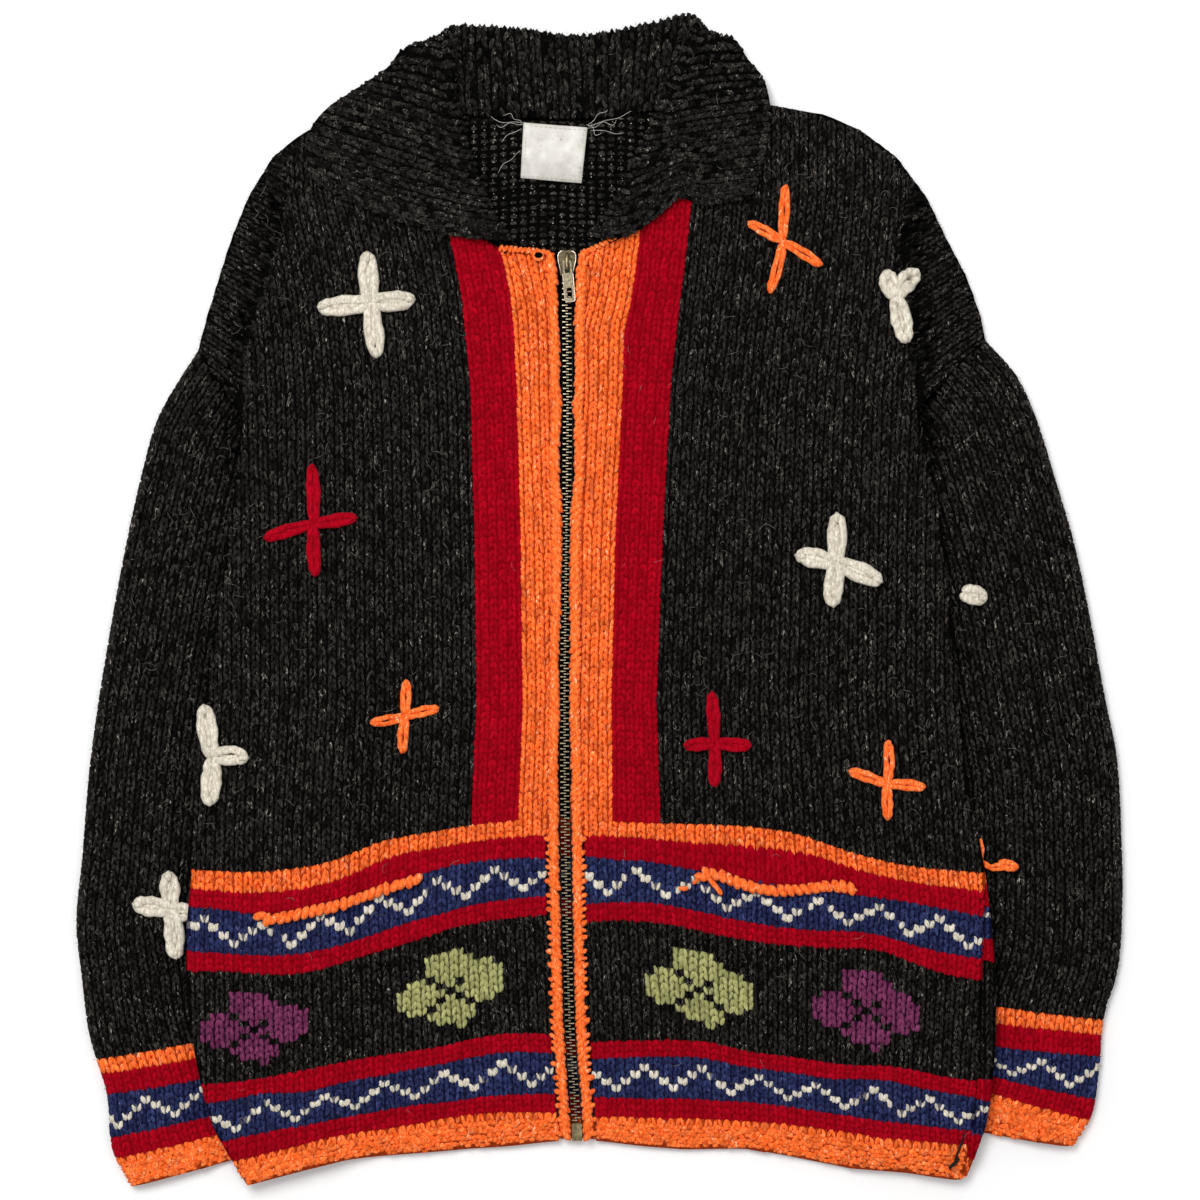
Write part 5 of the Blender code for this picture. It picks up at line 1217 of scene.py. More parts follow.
# ---------------------------------------------------------------- the sleeves
def build_sleeve(side):
    """One sleeve, a flattened tube with its stitches; gives the height of its top."""
    which = WHICH[side]
    fold, outline = sleeve_lines(side)
    top = Field([f"sleeve_{which}"])
    steps = reach_along(fold)
    total = steps[-1]
    first, last = -3, int(total / SLEEVE_COURSE) + 4
    wide = 26                   # columns each way from the outer fold
    nose = 6.0                  # how far the rounded fold reaches in
    quarter = 9.4               # length of cloth round a half of it
    start, pitch, slope = SLEEVE_ROWS[side]

    def on_fold(s):
        return np.stack([np.interp(s, steps, fold[:, i]) for i in (0, 1)], -1)

    def spine(v):
        """Point of the outer fold at a row, and the way in from there."""
        s = np.asarray(v, float) * SLEEVE_COURSE
        at = np.clip(s, 0, total)
        way = on_fold(np.clip(at + 38, 0, total)) - on_fold(np.clip(at - 38, 0, total))
        way /= np.linalg.norm(way, axis=-1, keepdims=True)
        point = on_fold(at) + way * (s - at)[..., None]
        inward = np.stack((way[..., 1], -way[..., 0]), -1) * (-side)
        return point, inward

    def tube(c, v):
        """c counts columns from the outer fold, over the top where positive."""
        reach = np.abs(c) * WALE
        v = (start + pitch * v - slope * reach) / SLEEVE_COURSE
        turn = np.clip(reach / quarter, 0, 1) * math.pi / 2
        across = np.where(reach < quarter, nose * (1 - np.cos(turn)), nose + reach - quarter)
        point, inward = spine(v)
        spot = point + inward * across[..., None]
        probe = point + inward * np.maximum(across, nose + 1.5)[..., None]
        x, y = probe[..., 0], probe[..., 1]
        out = (x - line_x(SIDE[side], y)) * side
        full = top(x, y) + crease_depth(SLEEVE_CREASES[side], x, y)
        full = full - 3.4 * (1 - ease(2, 26, out))
        half = full / 2
        lift = np.where(reach < quarter, np.sin(turn), 1.0)
        z = half + half * lift * np.sign(c + 1e-9)
        return np.dstack((spot[..., 0], spot[..., 1], np.maximum(z, 0.0)))

    surface = Spread(tube(*fine_grid((-wide, wide), (first, last), 3)), (-wide, first), (3, 3))
    flip = 1 if side < 0 else -1

    def seen(c, v):
        return surface(np.asarray(c) * flip, v)

    def colour(c, v):
        name = "charcoal"
        for low, high, yarn in ((first, 4, "orange"), (4, 7, "red"), (7, 13, "navy"), (13, 16, "red"),
                                (16, 18, "orange")):
            if low <= v < high:
                name = yarn
                if yarn == "navy" and ZIGZAG[(c + (2 if side < 0 else 1)) % 6] == v - low:
                    name = "white"
        return yarn_number(name)

    # the shell, just under the stitches, over the fold and back: 1.5 mm thick, in the yarns' painted-shade
    # copies
    c, v = np.meshgrid(np.arange(-wide, wide + 1), np.arange(first, last + 1))
    centre = seen(c[:, :-1] + 0.5, v[:, :-1] + 0.5)[:-1]
    keep = outline.look(centre[..., 0], centre[..., 1])[0] > -0.6
    upper = settled(seen(c, v), keep, outline, 5.0)
    normal = unit(np.cross(np.gradient(upper, axis=1), np.gradient(upper, axis=0)))
    outer = upper - normal * 1.5
    inner = upper - normal * 3.0
    for layer in (outer, inner):
        inside, near_x, near_y = outline.look(layer[..., 0], layer[..., 1])
        layer[..., 0] = np.where(inside < 0, near_x, layer[..., 0])
        layer[..., 1] = np.where(inside < 0, near_y, layer[..., 1])
    outer[..., 2] = np.maximum(outer[..., 2], 0.3)
    inner[..., 2] = np.maximum(inner[..., 2], 0.6)
    index = np.array([[colour(a, b) for a in range(-wide, wide)] for b in range(first, last)])
    sheet = shell(f"sleeve_{which}_cloth", outer, inner, PAINTED_SHADES, index, keep, "charcoal_knit")

    i, j = np.nonzero(keep)
    cells = np.column_stack((j - wide, i + first))
    upside = cells[:, 0] * flip >= (-1 if flip > 0 else 0)
    middle = middles(seen, cells)
    body = Outline(shifted(side_line(side, strip=False) + [(0, 120), (0, -392)]))
    hidden = (body.look(middle[:, 0], middle[:, 1])[0] > 14) & (middle[:, 1] > -352)
    shown = upside & ~hidden & (cells[:, 1] >= GARTER_END)
    yarn = np.array([[colour(int(a), int(b))] * 2 for a, b in cells])
    fat = np.where(yarn[:, 0] == 0, RNG.uniform(0.76, 1.0, len(cells)), 1.1)
    fat = np.where(yarn[:, 0] == yarn_number("red"), 1.14, fat)
    fat = np.where(yarn[:, 0] == yarn_number("white"), RNG.uniform(1.05, 1.4, len(cells)), fat)
    tops = knit(f"sleeve_{which}_stitches", seen, cells[shown], yarn[shown], clip=outline,
                fat=fat[shown], floor=FLOOR, slot="charcoal_knit", rise=0.5)
    seeds = seeded(seen, outline, (-2, wide) if flip > 0 else (-wide, 2), (first, GARTER_END))
    seeds = seeds[(seeds[:, 0] + 0.5) * flip > -0.6]
    cuff = purl(f"sleeve_{which}_cuff", seen, seeds, np.ones(len(seeds), int), floor=FLOOR, rise=0.2,
                span=0.6, arc=0.3, fat=RNG.uniform(0.95, 1.35, len(seeds)), slot="orange_knit")
    low = knit(f"sleeve_{which}_underside", seen, cells[~upside], yarn[~upside], fine=False, clip=outline,
               floor=FLOOR, slot="charcoal_knit", rise=0.0)
    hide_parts(f"sleeve_{which}")
    round(2 * outline.area() * 1e-6, 4)
    return top


# where the rows of a sleeve start, their height and their slope across it
SLEEVE_ROWS = {-1: (2.9, 4.85, 0.05), 1: (2.5, 4.85, 0.06)}
SLEEVE_CREASES = {
    -1: [(-288, 60, 70, 45, 9, 1.4), (-318, -90, 82, 60, 10, 1.4), (-312, -225, 60, 34, 9, 1.4)],
    1: [(272, 70, -66, 45, 9, 1.4), (305, -60, -80, 60, 10, 1.4), (318, -190, -70, 34, 9, 1.4)],
}


# ---------------------------------------------------------------- the collar
def collar_middle(stations, ground):
    """Middle surface of the collar: a row across the strip for each station."""
    read = [glide(COLLAR, stations, c) for c in range(1, 14)]
    surface = []
    for k in range(len(stations)):
        nx, ny, nz, rx, ry, rz, bx, by, ox, oy, oz, rho, lean = [float(r[k]) for r in read]
        neck = np.array([nx, ny, nz])
        if lean > 20:
            neck[2] = max(nz - 0.6, NECK_LEVEL)
        roll = np.array([rx, ry, rz])
        edge = np.array([ox, oy, rz + (oz - rz) * float(1 - ease(20, 70, lean))])
        outward = np.array([-1.0 if rx < -20 else 1.0, 0.12, 0.0])
        tilt = math.radians(lean)
        across = outward / np.linalg.norm(outward) * math.cos(tilt) + np.array([0, 0, math.sin(tilt)])
        forward = 2 * roll - neck - edge
        forward = forward - across * forward.dot(across)
        forward = forward / np.linalg.norm(forward)
        centre = roll - forward * rho
        first = centre - across * rho
        last = centre + across * rho
        row = []
        for i in range(STAND_ROWS):
            spot = neck + (first - neck) * i / STAND_ROWS
            if lean > 20:
                spot[2] = max(spot[2], NECK_LEVEL)
            row.append(spot)
        for i in range(ROLL_ROWS + 1):
            turn = math.pi * i / ROLL_ROWS
            row.append(centre - across * rho * math.cos(turn) + forward * rho * math.sin(turn))
        for i in range(1, FALL_ROWS + 1):
            f = i / FALL_ROWS
            bend = np.array([bx, by])
            plan = last[:2] * (1 - f) ** 2 + 2 * bend * f * (1 - f) + edge[:2] * f * f
            hanging = last[2] + (oz - last[2]) * float(ease(-0.15, 0.6, f))
            height = hanging
            weight = float(ease(15, 60, lean))
            if weight > 0:
                rest = float(ground(plan[0] + SHIFT[0], plan[1] + SHIFT[1])) + 1.4 + COLLAR_CORE / 2
                lying = max(last[2] + (rest - last[2]) * float(ease(0, 0.75, f)), rest)
                height = max(hanging, rest) * (1 - weight) + lying * weight
            row.append(np.array([plan[0], plan[1], height]))
        surface.append(np.array(row))
    return np.array(surface) + np.array([SHIFT[0], SHIFT[1], 0.0])


def build_collar(fields):
    left, right = fields
    roofs = {side: shifted(SHOULDER[side]) for side in (-1, 1)}

    def ground(x, y):
        side = -1 if x < MIDDLE_X else 1
        roof = float(straight(roofs[side], x))
        lying = (left if side < 0 else right)(x, min(y, roof - 4))
        return float(lying) * float(1 - ease(4, 36, y - roof))

    per = 4
    stations = np.linspace(0, COLLAR_RIBS, COLLAR_RIBS * per + 1)
    middle = collar_middle(stations, ground)
    # even rows of stitches across the strip
    rows = 25
    fine = 2
    even = np.zeros((len(stations), rows * fine + 1, 3))
    for k, line in enumerate(middle):
        reach = reach_along(line)
        reach /= reach[-1]
        want = np.linspace(0, 1, rows * fine + 1)
        for axis in range(3):
            even[k, :, axis] = glide(np.column_stack((reach, line[:, axis])), want)
    # the right point's lower edge dips over the orange columns and rises over the red one
    pull = 9 * np.exp(-((even[..., 0] - 54) / 11) ** 2) - 8 * np.exp(-((even[..., 0] - 17) / 16) ** 2)
    even[..., 1] += ease(40, 49, stations)[:, None] * pull
    normal = unit(np.cross(np.gradient(even, axis=0), np.gradient(even, axis=1)))
    for _ in range(3):
        normal[1:-1] = (normal[:-2] + 2 * normal[1:-1] + normal[2:]) / 4
        normal[:, 1:-1] = (normal[:, :-2] + 2 * normal[:, 1:-1] + normal[:, 2:]) / 4
    normal = unit(normal)
    wave = -np.cos(np.arange(len(stations)) / per * 2 * math.pi)[:, None, None]
    front = even + normal * (COLLAR_CORE / 2 - 0.9 + 0.5 * wave)
    rear = even - normal * (COLLAR_CORE / 2 - 0.9 - 0.4 * wave)
    front[..., 2] = np.maximum(front[..., 2], 0.35)
    rear[..., 2] = np.maximum(rear[..., 2], 0.1)
    index = np.zeros((len(stations) - 1, rows * fine), int)
    # the collar's shell in the charcoal painted shade
    sheet = shell("collar_cloth", front, rear, PAINTED_SHADES, index, None, "collar_knit")

    def off(distance):
        """Surface of the strip at a distance from its middle, read by rib and row."""
        return Spread((even + normal * distance).transpose(1, 0, 2), (0, 0), (per, fine))

    def under_face(c, v):
        return inner(COLLAR_RIBS - np.asarray(c, float), v)

    inner = off(-(COLLAR_CORE / 2 + 0.1))
    on_ribs = every_cell(np.arange(COLLAR_RIBS), np.arange(rows))
    in_valleys = every_cell(np.arange(1, COLLAR_RIBS) - 0.5, np.arange(rows))
    ribs = knit("collar_ribs", off(COLLAR_CORE / 2 + 0.9), on_ribs, np.zeros((len(on_ribs), 2), int),
                fat=RNG.uniform(1.05, 1.3, len(on_ribs)), floor=FLOOR, slot="collar_knit", rise=0.9,
                tone=-0.2)
    # the purl bumps sunk in the valleys between the ribs are darkened as painted shade
    bumps = purl("collar_valleys", off(COLLAR_CORE / 2 - 1.7), in_valleys, np.zeros(len(in_valleys), int),
                 fat=0.8, floor=FLOOR, slot="collar_knit", rise=0.2, tone=-0.86)
    back = knit("collar_inside", under_face, in_valleys, np.zeros((len(in_valleys), 2), int), fine=False,
                floor=FLOOR, slot="collar_knit", rise=0.2)
    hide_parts("collar")


# ---------------------------------------------------------------- yarns, ropes and thread
def cords(name, paths, radius, mat, sides=6, flat=0.85, slot=None, body="body", taper=0.45,
          wobble=0.0):
    """Round strands along paths of x, y, z, closed at both ends."""
    points, faces = [], []
    radii = radius if hasattr(radius, "__len__") else [radius] * len(paths)
    for path, size in zip(paths, radii):
        path = np.asarray(path, float)
        way = unit(np.gradient(path, axis=0))
        across = unit(np.column_stack((-way[:, 1], way[:, 0], np.zeros(len(path)))))
        rise = np.cross(way, across)
        start = len(points)
        n = len(path)
        for i in range(n):
            edge = min(i, n - 1 - i)
            grow = taper if edge == 0 else 0.86 if edge == 1 and n > 5 else 1.0
            grow *= 1 + wobble * float(np.clip(RNG.normal(0, 1), -1.5, 1.5))
            for s in range(sides):
                a = 2 * math.pi * s / sides
                points.append(path[i] + across[i] * size * grow * math.cos(a)
                              + rise[i] * size * grow * flat * math.sin(a))
        for i in range(n - 1):
            for s in range(sides):
                a, b = start + i * sides + s, start + i * sides + (s + 1) % sides
                faces.append((a, b, b + sides, a + sides))
        faces.append(tuple(start + s for s in range(sides - 1, -1, -1)))
        faces.append(tuple(start + (n - 1) * sides + s for s in range(sides)))
    return make_piece(name, points, faces, [mat], slot=slot, body=body)


def petal(centre, tip, ground, half, size):
    """A looped petal: the yarn goes out from the centre, round the tip and back, and a tie holds it."""
    centre, tip = np.asarray(centre, float), np.asarray(tip, float)
    way = tip - centre
    length = np.linalg.norm(way) - size * 0.6
    way /= np.linalg.norm(way)
    side = np.array([-way[1], way[0]])
    lean, skew = RNG.normal(0, 0.35), RNG.normal(0, 0.12)
    loop = []
    for k, a in enumerate(np.linspace(-math.pi, math.pi, 25)):
        reach = length * (0.5 + 0.5 * math.cos(a)) ** 0.82
        swell = half * math.copysign(abs(math.sin(a)) ** 0.95, math.sin(a)) * (1 + skew * math.copysign(1, a))
        p = centre + way * reach + side * (swell + lean * math.sin(math.pi * reach / length))
        p = p + side * 0.25 * math.sin(k * 1.9)
        lift = size * 0.55 + 0.5 * math.sin(math.pi * min(1.0, reach / length))
        loop.append((p[0], p[1], float(ground(p[0], p[1])) + lift))
    tie = []
    for f in np.linspace(-1, 1, 5):
        p = centre + way * (length - size * 0.2 + f * size * 1.1) + side * lean
        tie.append((p[0], p[1], float(ground(p[0], p[1])) + size * (0.35 + 1.15 * (1 - f * f))))
    return loop, tie


# strands of the cross that has come loose, in pixels
LOOSE_LOOPS = {"cross_orange_4": [[(979, 869), (981, 858), (982, 848), (980, 838)],
                                  [(981, 860), (990, 866), (1000, 863), (1010, 860)],
                                  [(982, 864), (992, 869), (1003, 868), (1013, 868)]]}


def build_crosses(grounds):
    for k, (yarn, replaced, carrier, middle, tips) in enumerate(CROSSES):
        ground = grounds[carrier]
        centre = px(*middle)
        slim, half = {"orange": (1.85, 2.0), "red": (2.3, 2.5), "white": (3.0, 3.9)}[yarn]
        petals = [petal(centre, px(*tip), ground, half, slim) for tip in tips]
        paths = [loop for loop, _ in petals] + [tie for _, tie in petals]
        size = [slim * RNG.uniform(0.94, 1.06) for _ in tips] + [slim * 0.72] * len(tips)
        # a strand down the middle of each petal, except in the thin orange ones
        for tip in tips if yarn != "orange" else []:
            way = px(*tip) - centre
            line = [centre + way * f for f in np.linspace(0.16, 0.8, 7)]
            paths.append(laid_on(ground, line, slim * 0.3))
            size.append(slim * 0.9)
        for points in LOOSE_LOOPS.get(replaced, []):
            paths.append(laid_on(ground, refined(points, 13), 1.6))
            size.append(1.25)
        cross = cords(f"embroidery_{k + 1}", paths, size, yarn, sides=8, slot=YARN_SLOT[yarn], wobble=0.09)
        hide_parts(replaced)


def rope(name, path, pitch, length, half, lean, rough, replaced=None, core_size=1.6):
    """An orange bound-off edge: slanted leaf-shaped stitches side by side along a path."""
    path = np.asarray(path, float)
    reach = reach_along(path)
    count = int(reach[-1] / pitch)
    leaves = []
    for k in range(count):
        s = (k + 0.5) * pitch + RNG.normal(0, 0.25)
        at = np.array([np.interp(s, reach, path[:, i]) for i in range(3)])
        ahead = np.array([np.interp(s + 2, reach, path[:, i]) for i in range(3)])
        way = ahead - at
        way = way[:2] / max(np.linalg.norm(way[:2]), 1e-6)
        turn = math.radians(lean + RNG.normal(0, rough))
        slant = np.array([way[0] * math.cos(turn) - way[1] * math.sin(turn),
                          way[0] * math.sin(turn) + way[1] * math.cos(turn)])
        leaf = []
        for f in np.linspace(-1, 1, 7):
            p = at[:2] + slant * f * length / 2
            leaf.append((p[0], p[1], at[2] + 1.5 * math.sqrt(max(0.0, 1 - f * f)) - 0.4))
        leaves.append(leaf)
    core = [tuple(p) for p in path]
    sizes = [half * RNG.uniform(0.92, 1.08) for _ in leaves] + [core_size]
    obj = cords(name, leaves + [core], sizes, "orange", slot="orange_knit", taper=0.2)
    if replaced:
        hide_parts(replaced)


# the neckline beside the slider
NECK_EDGE = {-1: [(-68, 236.0), (-50, 234.2), (-35, 232.6), (-31, 230.0)],
             1: [(-13, 229.5), (-11, 232.5), (0, 237.4), (13, 245.4), (27, 254.6), (35, 261)]}


def build_edging(side, ground):
    """The rope beside the zip, the same rope up the orange columns, and the bumps beyond the first."""
    which = WHICH[side]
    for name, low, high, lift, length, lean in (("edging", -361, ROPE_TOP + 4, -0.9, 10.6, 38),
                                                ("selvedge", ROPE_TOP - 4, 231, 0.1, 11.6, 34)):
        ys = np.linspace(low, high, 90)
        xs = zip_x(ys) + side * (zip_gap(ys) + 4.9)
        base = ground(zip_x(ys) + side * np.maximum(zip_gap(ys) + 4.9, 8.2), ys) + lift
        rope(f"front_{name}_{which}", np.column_stack((xs, ys, base)), 4.5, length, 2.3, -side * lean, 7,
             replaced=f"front_edge_{which}" if name == "edging" else None)
    bumps, sizes = [], []
    for k, y in enumerate(np.arange(-358, ROPE_TOP, 4.7)):
        if k % 2 and RNG.random() < 0.45:
            continue
        grow = RNG.uniform(0.85, 1.15) * (0.7 if k % 2 else 1.0)
        out = float(zip_gap(y)) + 8.2 + (0.0 if k % 2 else 0.5) + RNG.normal(0, 0.3)
        x = float(zip_x(y)) + side * out
        z = float(ground(x, y)) - 0.2
        turn = RNG.normal(0, 0.5)
        bumps.append([(x + side * (f * 2.1 * grow), y + f * (0.8 + turn), z + 1.3 * (1 - f * f))
                      for f in (-1.0, -0.5, 0.0, 0.5, 1.0)])
        sizes.append(1.7 * grow)
    cords(f"front_edging_{which}_bumps", bumps, sizes, "orange", slot="orange_knit", taper=0.4)


def build_worn_hole(ground):
    """A small hole worn through the left front beside the zip."""
    middle = px(538, 255)

    def oval(size, angles):
        return [middle + size * np.array([math.cos(a), 0.9 * math.sin(a)]) for a in angles]

    ring = laid_on(ground, oval(3.4, np.linspace(0, 2 * math.pi, 15)), 2.5)
    cords("worn_hole_rim", [ring], [1.0], "orange", slot="orange_knit", wobble=0.15)
    # a dark disc stands for the hole: the charcoal back seen through it, darkened as painted shade
    disc = [(x, y, ring[0][2] + 0.1) for x, y in oval(3.0, np.arange(10) * 2 * math.pi / 10)]
    low = [(x, y, z - 0.5) for x, y, z in disc]
    faces = [tuple(range(10)), tuple(range(19, 9, -1))]
    faces += [(k, 10 + k, 10 + (k + 1) % 10, (k + 1) % 10) for k in range(10)]
    make_piece("worn_hole", disc + low, faces, ["charcoal_deep"], smooth=False, slot="charcoal_knit")


def build_edges(grounds):
    for side, which in WHICH.items():
        ground = grounds[f"front_{which}"]
        build_edging(side, ground)
        line = spaced(np.array([px(*p) for p in POCKET_ROPES[side]]), 60)
        rope(f"pocket_rope_{which}", laid_on(ground, line, 1.6), 5.2, 9.6, 2.7, -side * 48, 9,
             replaced=f"pocket_edge_{which}")
        # the bound edge of the neck beside the slider
        bound = spaced(np.array(NECK_EDGE[side], float) + SHIFT, 24)
        rope(f"neck_binding_{which}", laid_on(ground, bound, -0.6), 3.1, 5.2, 1.45, -side * 60, 14,
             core_size=1.2)
    # ends of yarn at the right pocket, and the black thread that closes the right side
    ground = grounds["front_right"]
    tails = [laid_on(ground, refined(points, 9), 2.4) for points in (
        [(692, 883), (699, 877), (706, 872)],
        [(705, 873), (712, 882), (718, 889), (721, 894)],
        [(678, 887), (683, 888), (688, 887)])]
    cords("pocket_yarn_ends", tails, [1.7, 1.9, 1.5], "orange", slot="orange_knit", wobble=0.1)
    seam = []
    for x, y in [(962, 1128), (960, 1138), (957, 1150), (953, 1160)]:
        x, y = px(x, y)
        seam.append((x + RNG.normal(0, 0.3), y, float(ground(x - 6, y)) + 0.4))
    knot = [(*(px(953, 1161) + (dx, dy)), seam[-1][2] + dz) for dx, dy, dz in
            ((-3.6, -3.4, 0), (-2.0, -1.8, 0.9), (0, 0, 1.2), (1.8, 2.0, 0.9), (3.0, 3.4, 0.2))]
    cords("side_seam_thread", [seam, knot], [0.7, 1.3], "thread", slot="charcoal_knit", wobble=0.1)
    build_worn_hole(grounds["front_left"])


# ---------------------------------------------------------------- the zip
TOOTH_PITCH = 3.72              # from one tooth to the next on the same side
PULL_LEAN = math.radians(5.0)


def paint(obj, mat):
    obj.data.materials.clear()
    obj.data.materials.append(MATS[mat])


def build_teeth():
    """Teeth of both sides, each a prism that narrows toward the middle."""
    points, faces = [], []
    profile = [(-0.42, 5.0), (-0.42, 6.8), (-0.2, 7.5), (0.2, 7.5), (0.42, 6.8), (0.42, 5.0)]
    ys = np.arange(-349.5, 215.8, TOOTH_PITCH)
    for side in (-1, 1):
        for y in ys + (0.0 if side < 0 else TOOTH_PITCH / 2):
            cx = float(zip_x(y))
            start = len(points)
            for x, thin, low in ((side * 3.0, 1.75, 0.9), (side * 1.1, 1.5, 1.0), (-side * 0.7, 1.3, 0.9)):
                for dy, z in profile:
                    points.append((cx + x, y + dy * thin, 6.2 + (z - 6.2) * low))
            for ring in (0, 1):
                for s in range(6):
                    a, b = start + ring * 6 + s, start + ring * 6 + (s + 1) % 6
                    faces.append((a, b, b + 6, a + 6) if side < 0 else (b, a, a + 6, b + 6))
            first = tuple(start + s for s in range(6))
            last = tuple(start + 12 + s for s in range(6))
            faces.append(first[::-1] if side < 0 else first)
            faces.append(last if side < 0 else last[::-1])
    teeth = make_piece("zip_teeth", points, faces, ["teeth"], smooth=False, slot="antique_brass")
    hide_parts("zip_chain")


def build_zip():
    build_teeth()
    for name, mat in (("zip_slider", "patina"), ("zip_pull", "tab"), ("zip_box", "brass")):
        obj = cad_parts[name]
        edge = obj.modifiers.new("soft edges", "BEVEL")
        edge.width = 0.00028
        edge.segments = 2
        edge.limit_method = "ANGLE"
        edge.angle_limit = math.radians(35)
        paint(obj, mat)
    # worn, bright rims of the slider and of its pull tab, and the slider's bridge
    cx, cy = -22.2 + SHIFT[0], 226.0 + SHIFT[1]
    lobe = [(1.5, 233.4), (3.6, 234.0), (5.4, 232.6), (6.0, 230.4), (5.9, 227.6), (5.1, 224.4), (4.4, 221.4),
            (4.2, 218.4)]
    lobes = [[(cx + side * x, y + SHIFT[1], 9.35) for x, y in lobe] for side in (-1, 1)]
    bridge = [(cx, y + SHIFT[1], z) for y, z in ((220.6, 12.6), (221.6, 13.5), (224, 13.6), (227.5, 13.6),
                                                 (230.8, 13.5), (231.9, 12.6))]
    cords("zip_slider_rims", lobes, 0.5, "rim", sides=8, slot="antique_brass", taper=0.6)
    cords("zip_slider_bridge", [bridge], 1.3, "brass", sides=8, flat=0.42, slot="antique_brass", taper=0.8)
    c, s = math.cos(PULL_LEAN), math.sin(PULL_LEAN)
    tab = [(-3.0, -6.4), (-3.45, -8.6), (-3.45, -25.2), (-2.6, -26.2), (2.6, -26.2), (3.45, -25.2),
           (3.45, -8.6), (3.0, -6.4)]
    tab = [(cx + x * c - y * s, cy + x * s + y * c, 11.6) for x, y in tab]
    cords("zip_pull_rim", [tab], 0.42, "rim", sides=8, slot="antique_brass", body="pull", taper=0.8)
    for side, which in WHICH.items():
        paint(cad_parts[f"zip_tape_{which}"], "tape")
        stitches = []
        for y in np.arange(-348, 230, 3.1):
            x = float(zip_x(y)) + side * 3.9
            stitches.append([(x - 0.3, y - 1.1, 6.1), (x, y, 6.5), (x + 0.3, y + 1.1, 6.1)])
        sewn = cords(f"zip_sewing_{which}", stitches, 0.35, "thread", sides=5, slot="tape_weave")


# ---------------------------------------------------------------- the label
# loose threads at the label's corners: from x, y to x, y, in pixels
LABEL_THREADS = [(523, 124, 496, 124), (522, 122, 504, 112), (521, 128, 500, 140), (520, 150, 496, 171),
                 (587, 128, 616, 120), (588, 126, 632, 112), (590, 130, 622, 132), (587, 125, 606, 108),
                 (586, 124, 600, 134), (523, 123, 490, 118)]


def build_label(ground):
    """The neck label, left blank, with the stitches that hold it and its loose threads."""
    corners = np.array([px(520, 177), px(581, 182), px(587, 127), px(523, 122)])
    rows, cols = 24, 26

    def at(a, b, lift):
        """Point of the label at its shares a across and b up, over the cloth."""
        p = (corners[0] * (1 - a) * (1 - b) + corners[1] * a * (1 - b) + corners[2] * a * b
             + corners[3] * (1 - a) * b)
        return (p[0], p[1], float(ground(p[0], p[1])) + 1.3 + lift)

    upper = np.zeros((rows + 1, cols + 1, 3))
    for i in range(rows + 1):
        for j in range(cols + 1):
            a, b = j / cols, i / rows
            wave = (0.45 * math.sin(a * 7 + b * 2) + 0.35 * math.sin(b * 9 - a * 3)
                    + 0.22 * math.sin(a * 19 + b * 7) * math.sin(b * 15 - a * 4))
            edge = min(a, 1 - a, b, 1 - b)
            upper[i, j] = at(a, b, wave)
            upper[i, j, 2] -= 0.5 * (1 - min(1, edge * 9))
    lower = upper - np.array([0, 0, 0.45])
    index = np.zeros((rows, cols), int)
    label = shell("neck_label", upper, lower, ["label"], index, None, "label_satin")
    threads = []
    for k in range(13):
        f = 0.05 + k * 0.9 / 12
        for b in (0.05, 0.95):
            threads.append([at(f - 0.025, b, 0.1), at(f, b, 0.45), at(f + 0.025, b, 0.1)])
        for a in (0.05, 0.95):
            threads.append([at(a, f - 0.025, 0.1), at(a, f, 0.45), at(a, f + 0.025, 0.1)])
    sewn_on = len(threads)
    for x0, y0, x1, y1 in LABEL_THREADS:
        a, b = px(x0, y0), px(x1, y1)
        way = (b - a) / np.linalg.norm(b - a)
        aside = np.array([-way[1], way[0]])
        sway, turns, shift = RNG.uniform(1.0, 3.4), RNG.uniform(5, 12), RNG.uniform(0, 6)
        path = []
        for f in np.linspace(0, 1, 19):
            p = a + (b - a) * f + aside * sway * f * math.sin(f * turns + shift)
            path.append((p[0], p[1], float(ground(p[0], p[1])) + 1.6 + 0.5 * math.sin(f * 11)))
        threads.append(path)
    sizes = [0.3] * sewn_on + [0.11] * (len(threads) - sewn_on)
    sewn = cords("label_threads", threads, sizes, "fray", sides=5, slot="label_satin")
    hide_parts("label")


# ---------------------------------------------------------------- loose fibres of the wool
def curl(x, y, turn, bend, long, knots):
    """Plan of a fibre that turns steadily as it goes."""
    line = []
    for f in np.linspace(0, 1, knots):
        line.append((x, y))
        x += long / (knots - 1) * math.cos(turn + bend * f)
        y += long / (knots - 1) * math.sin(turn + bend * f)
    return line


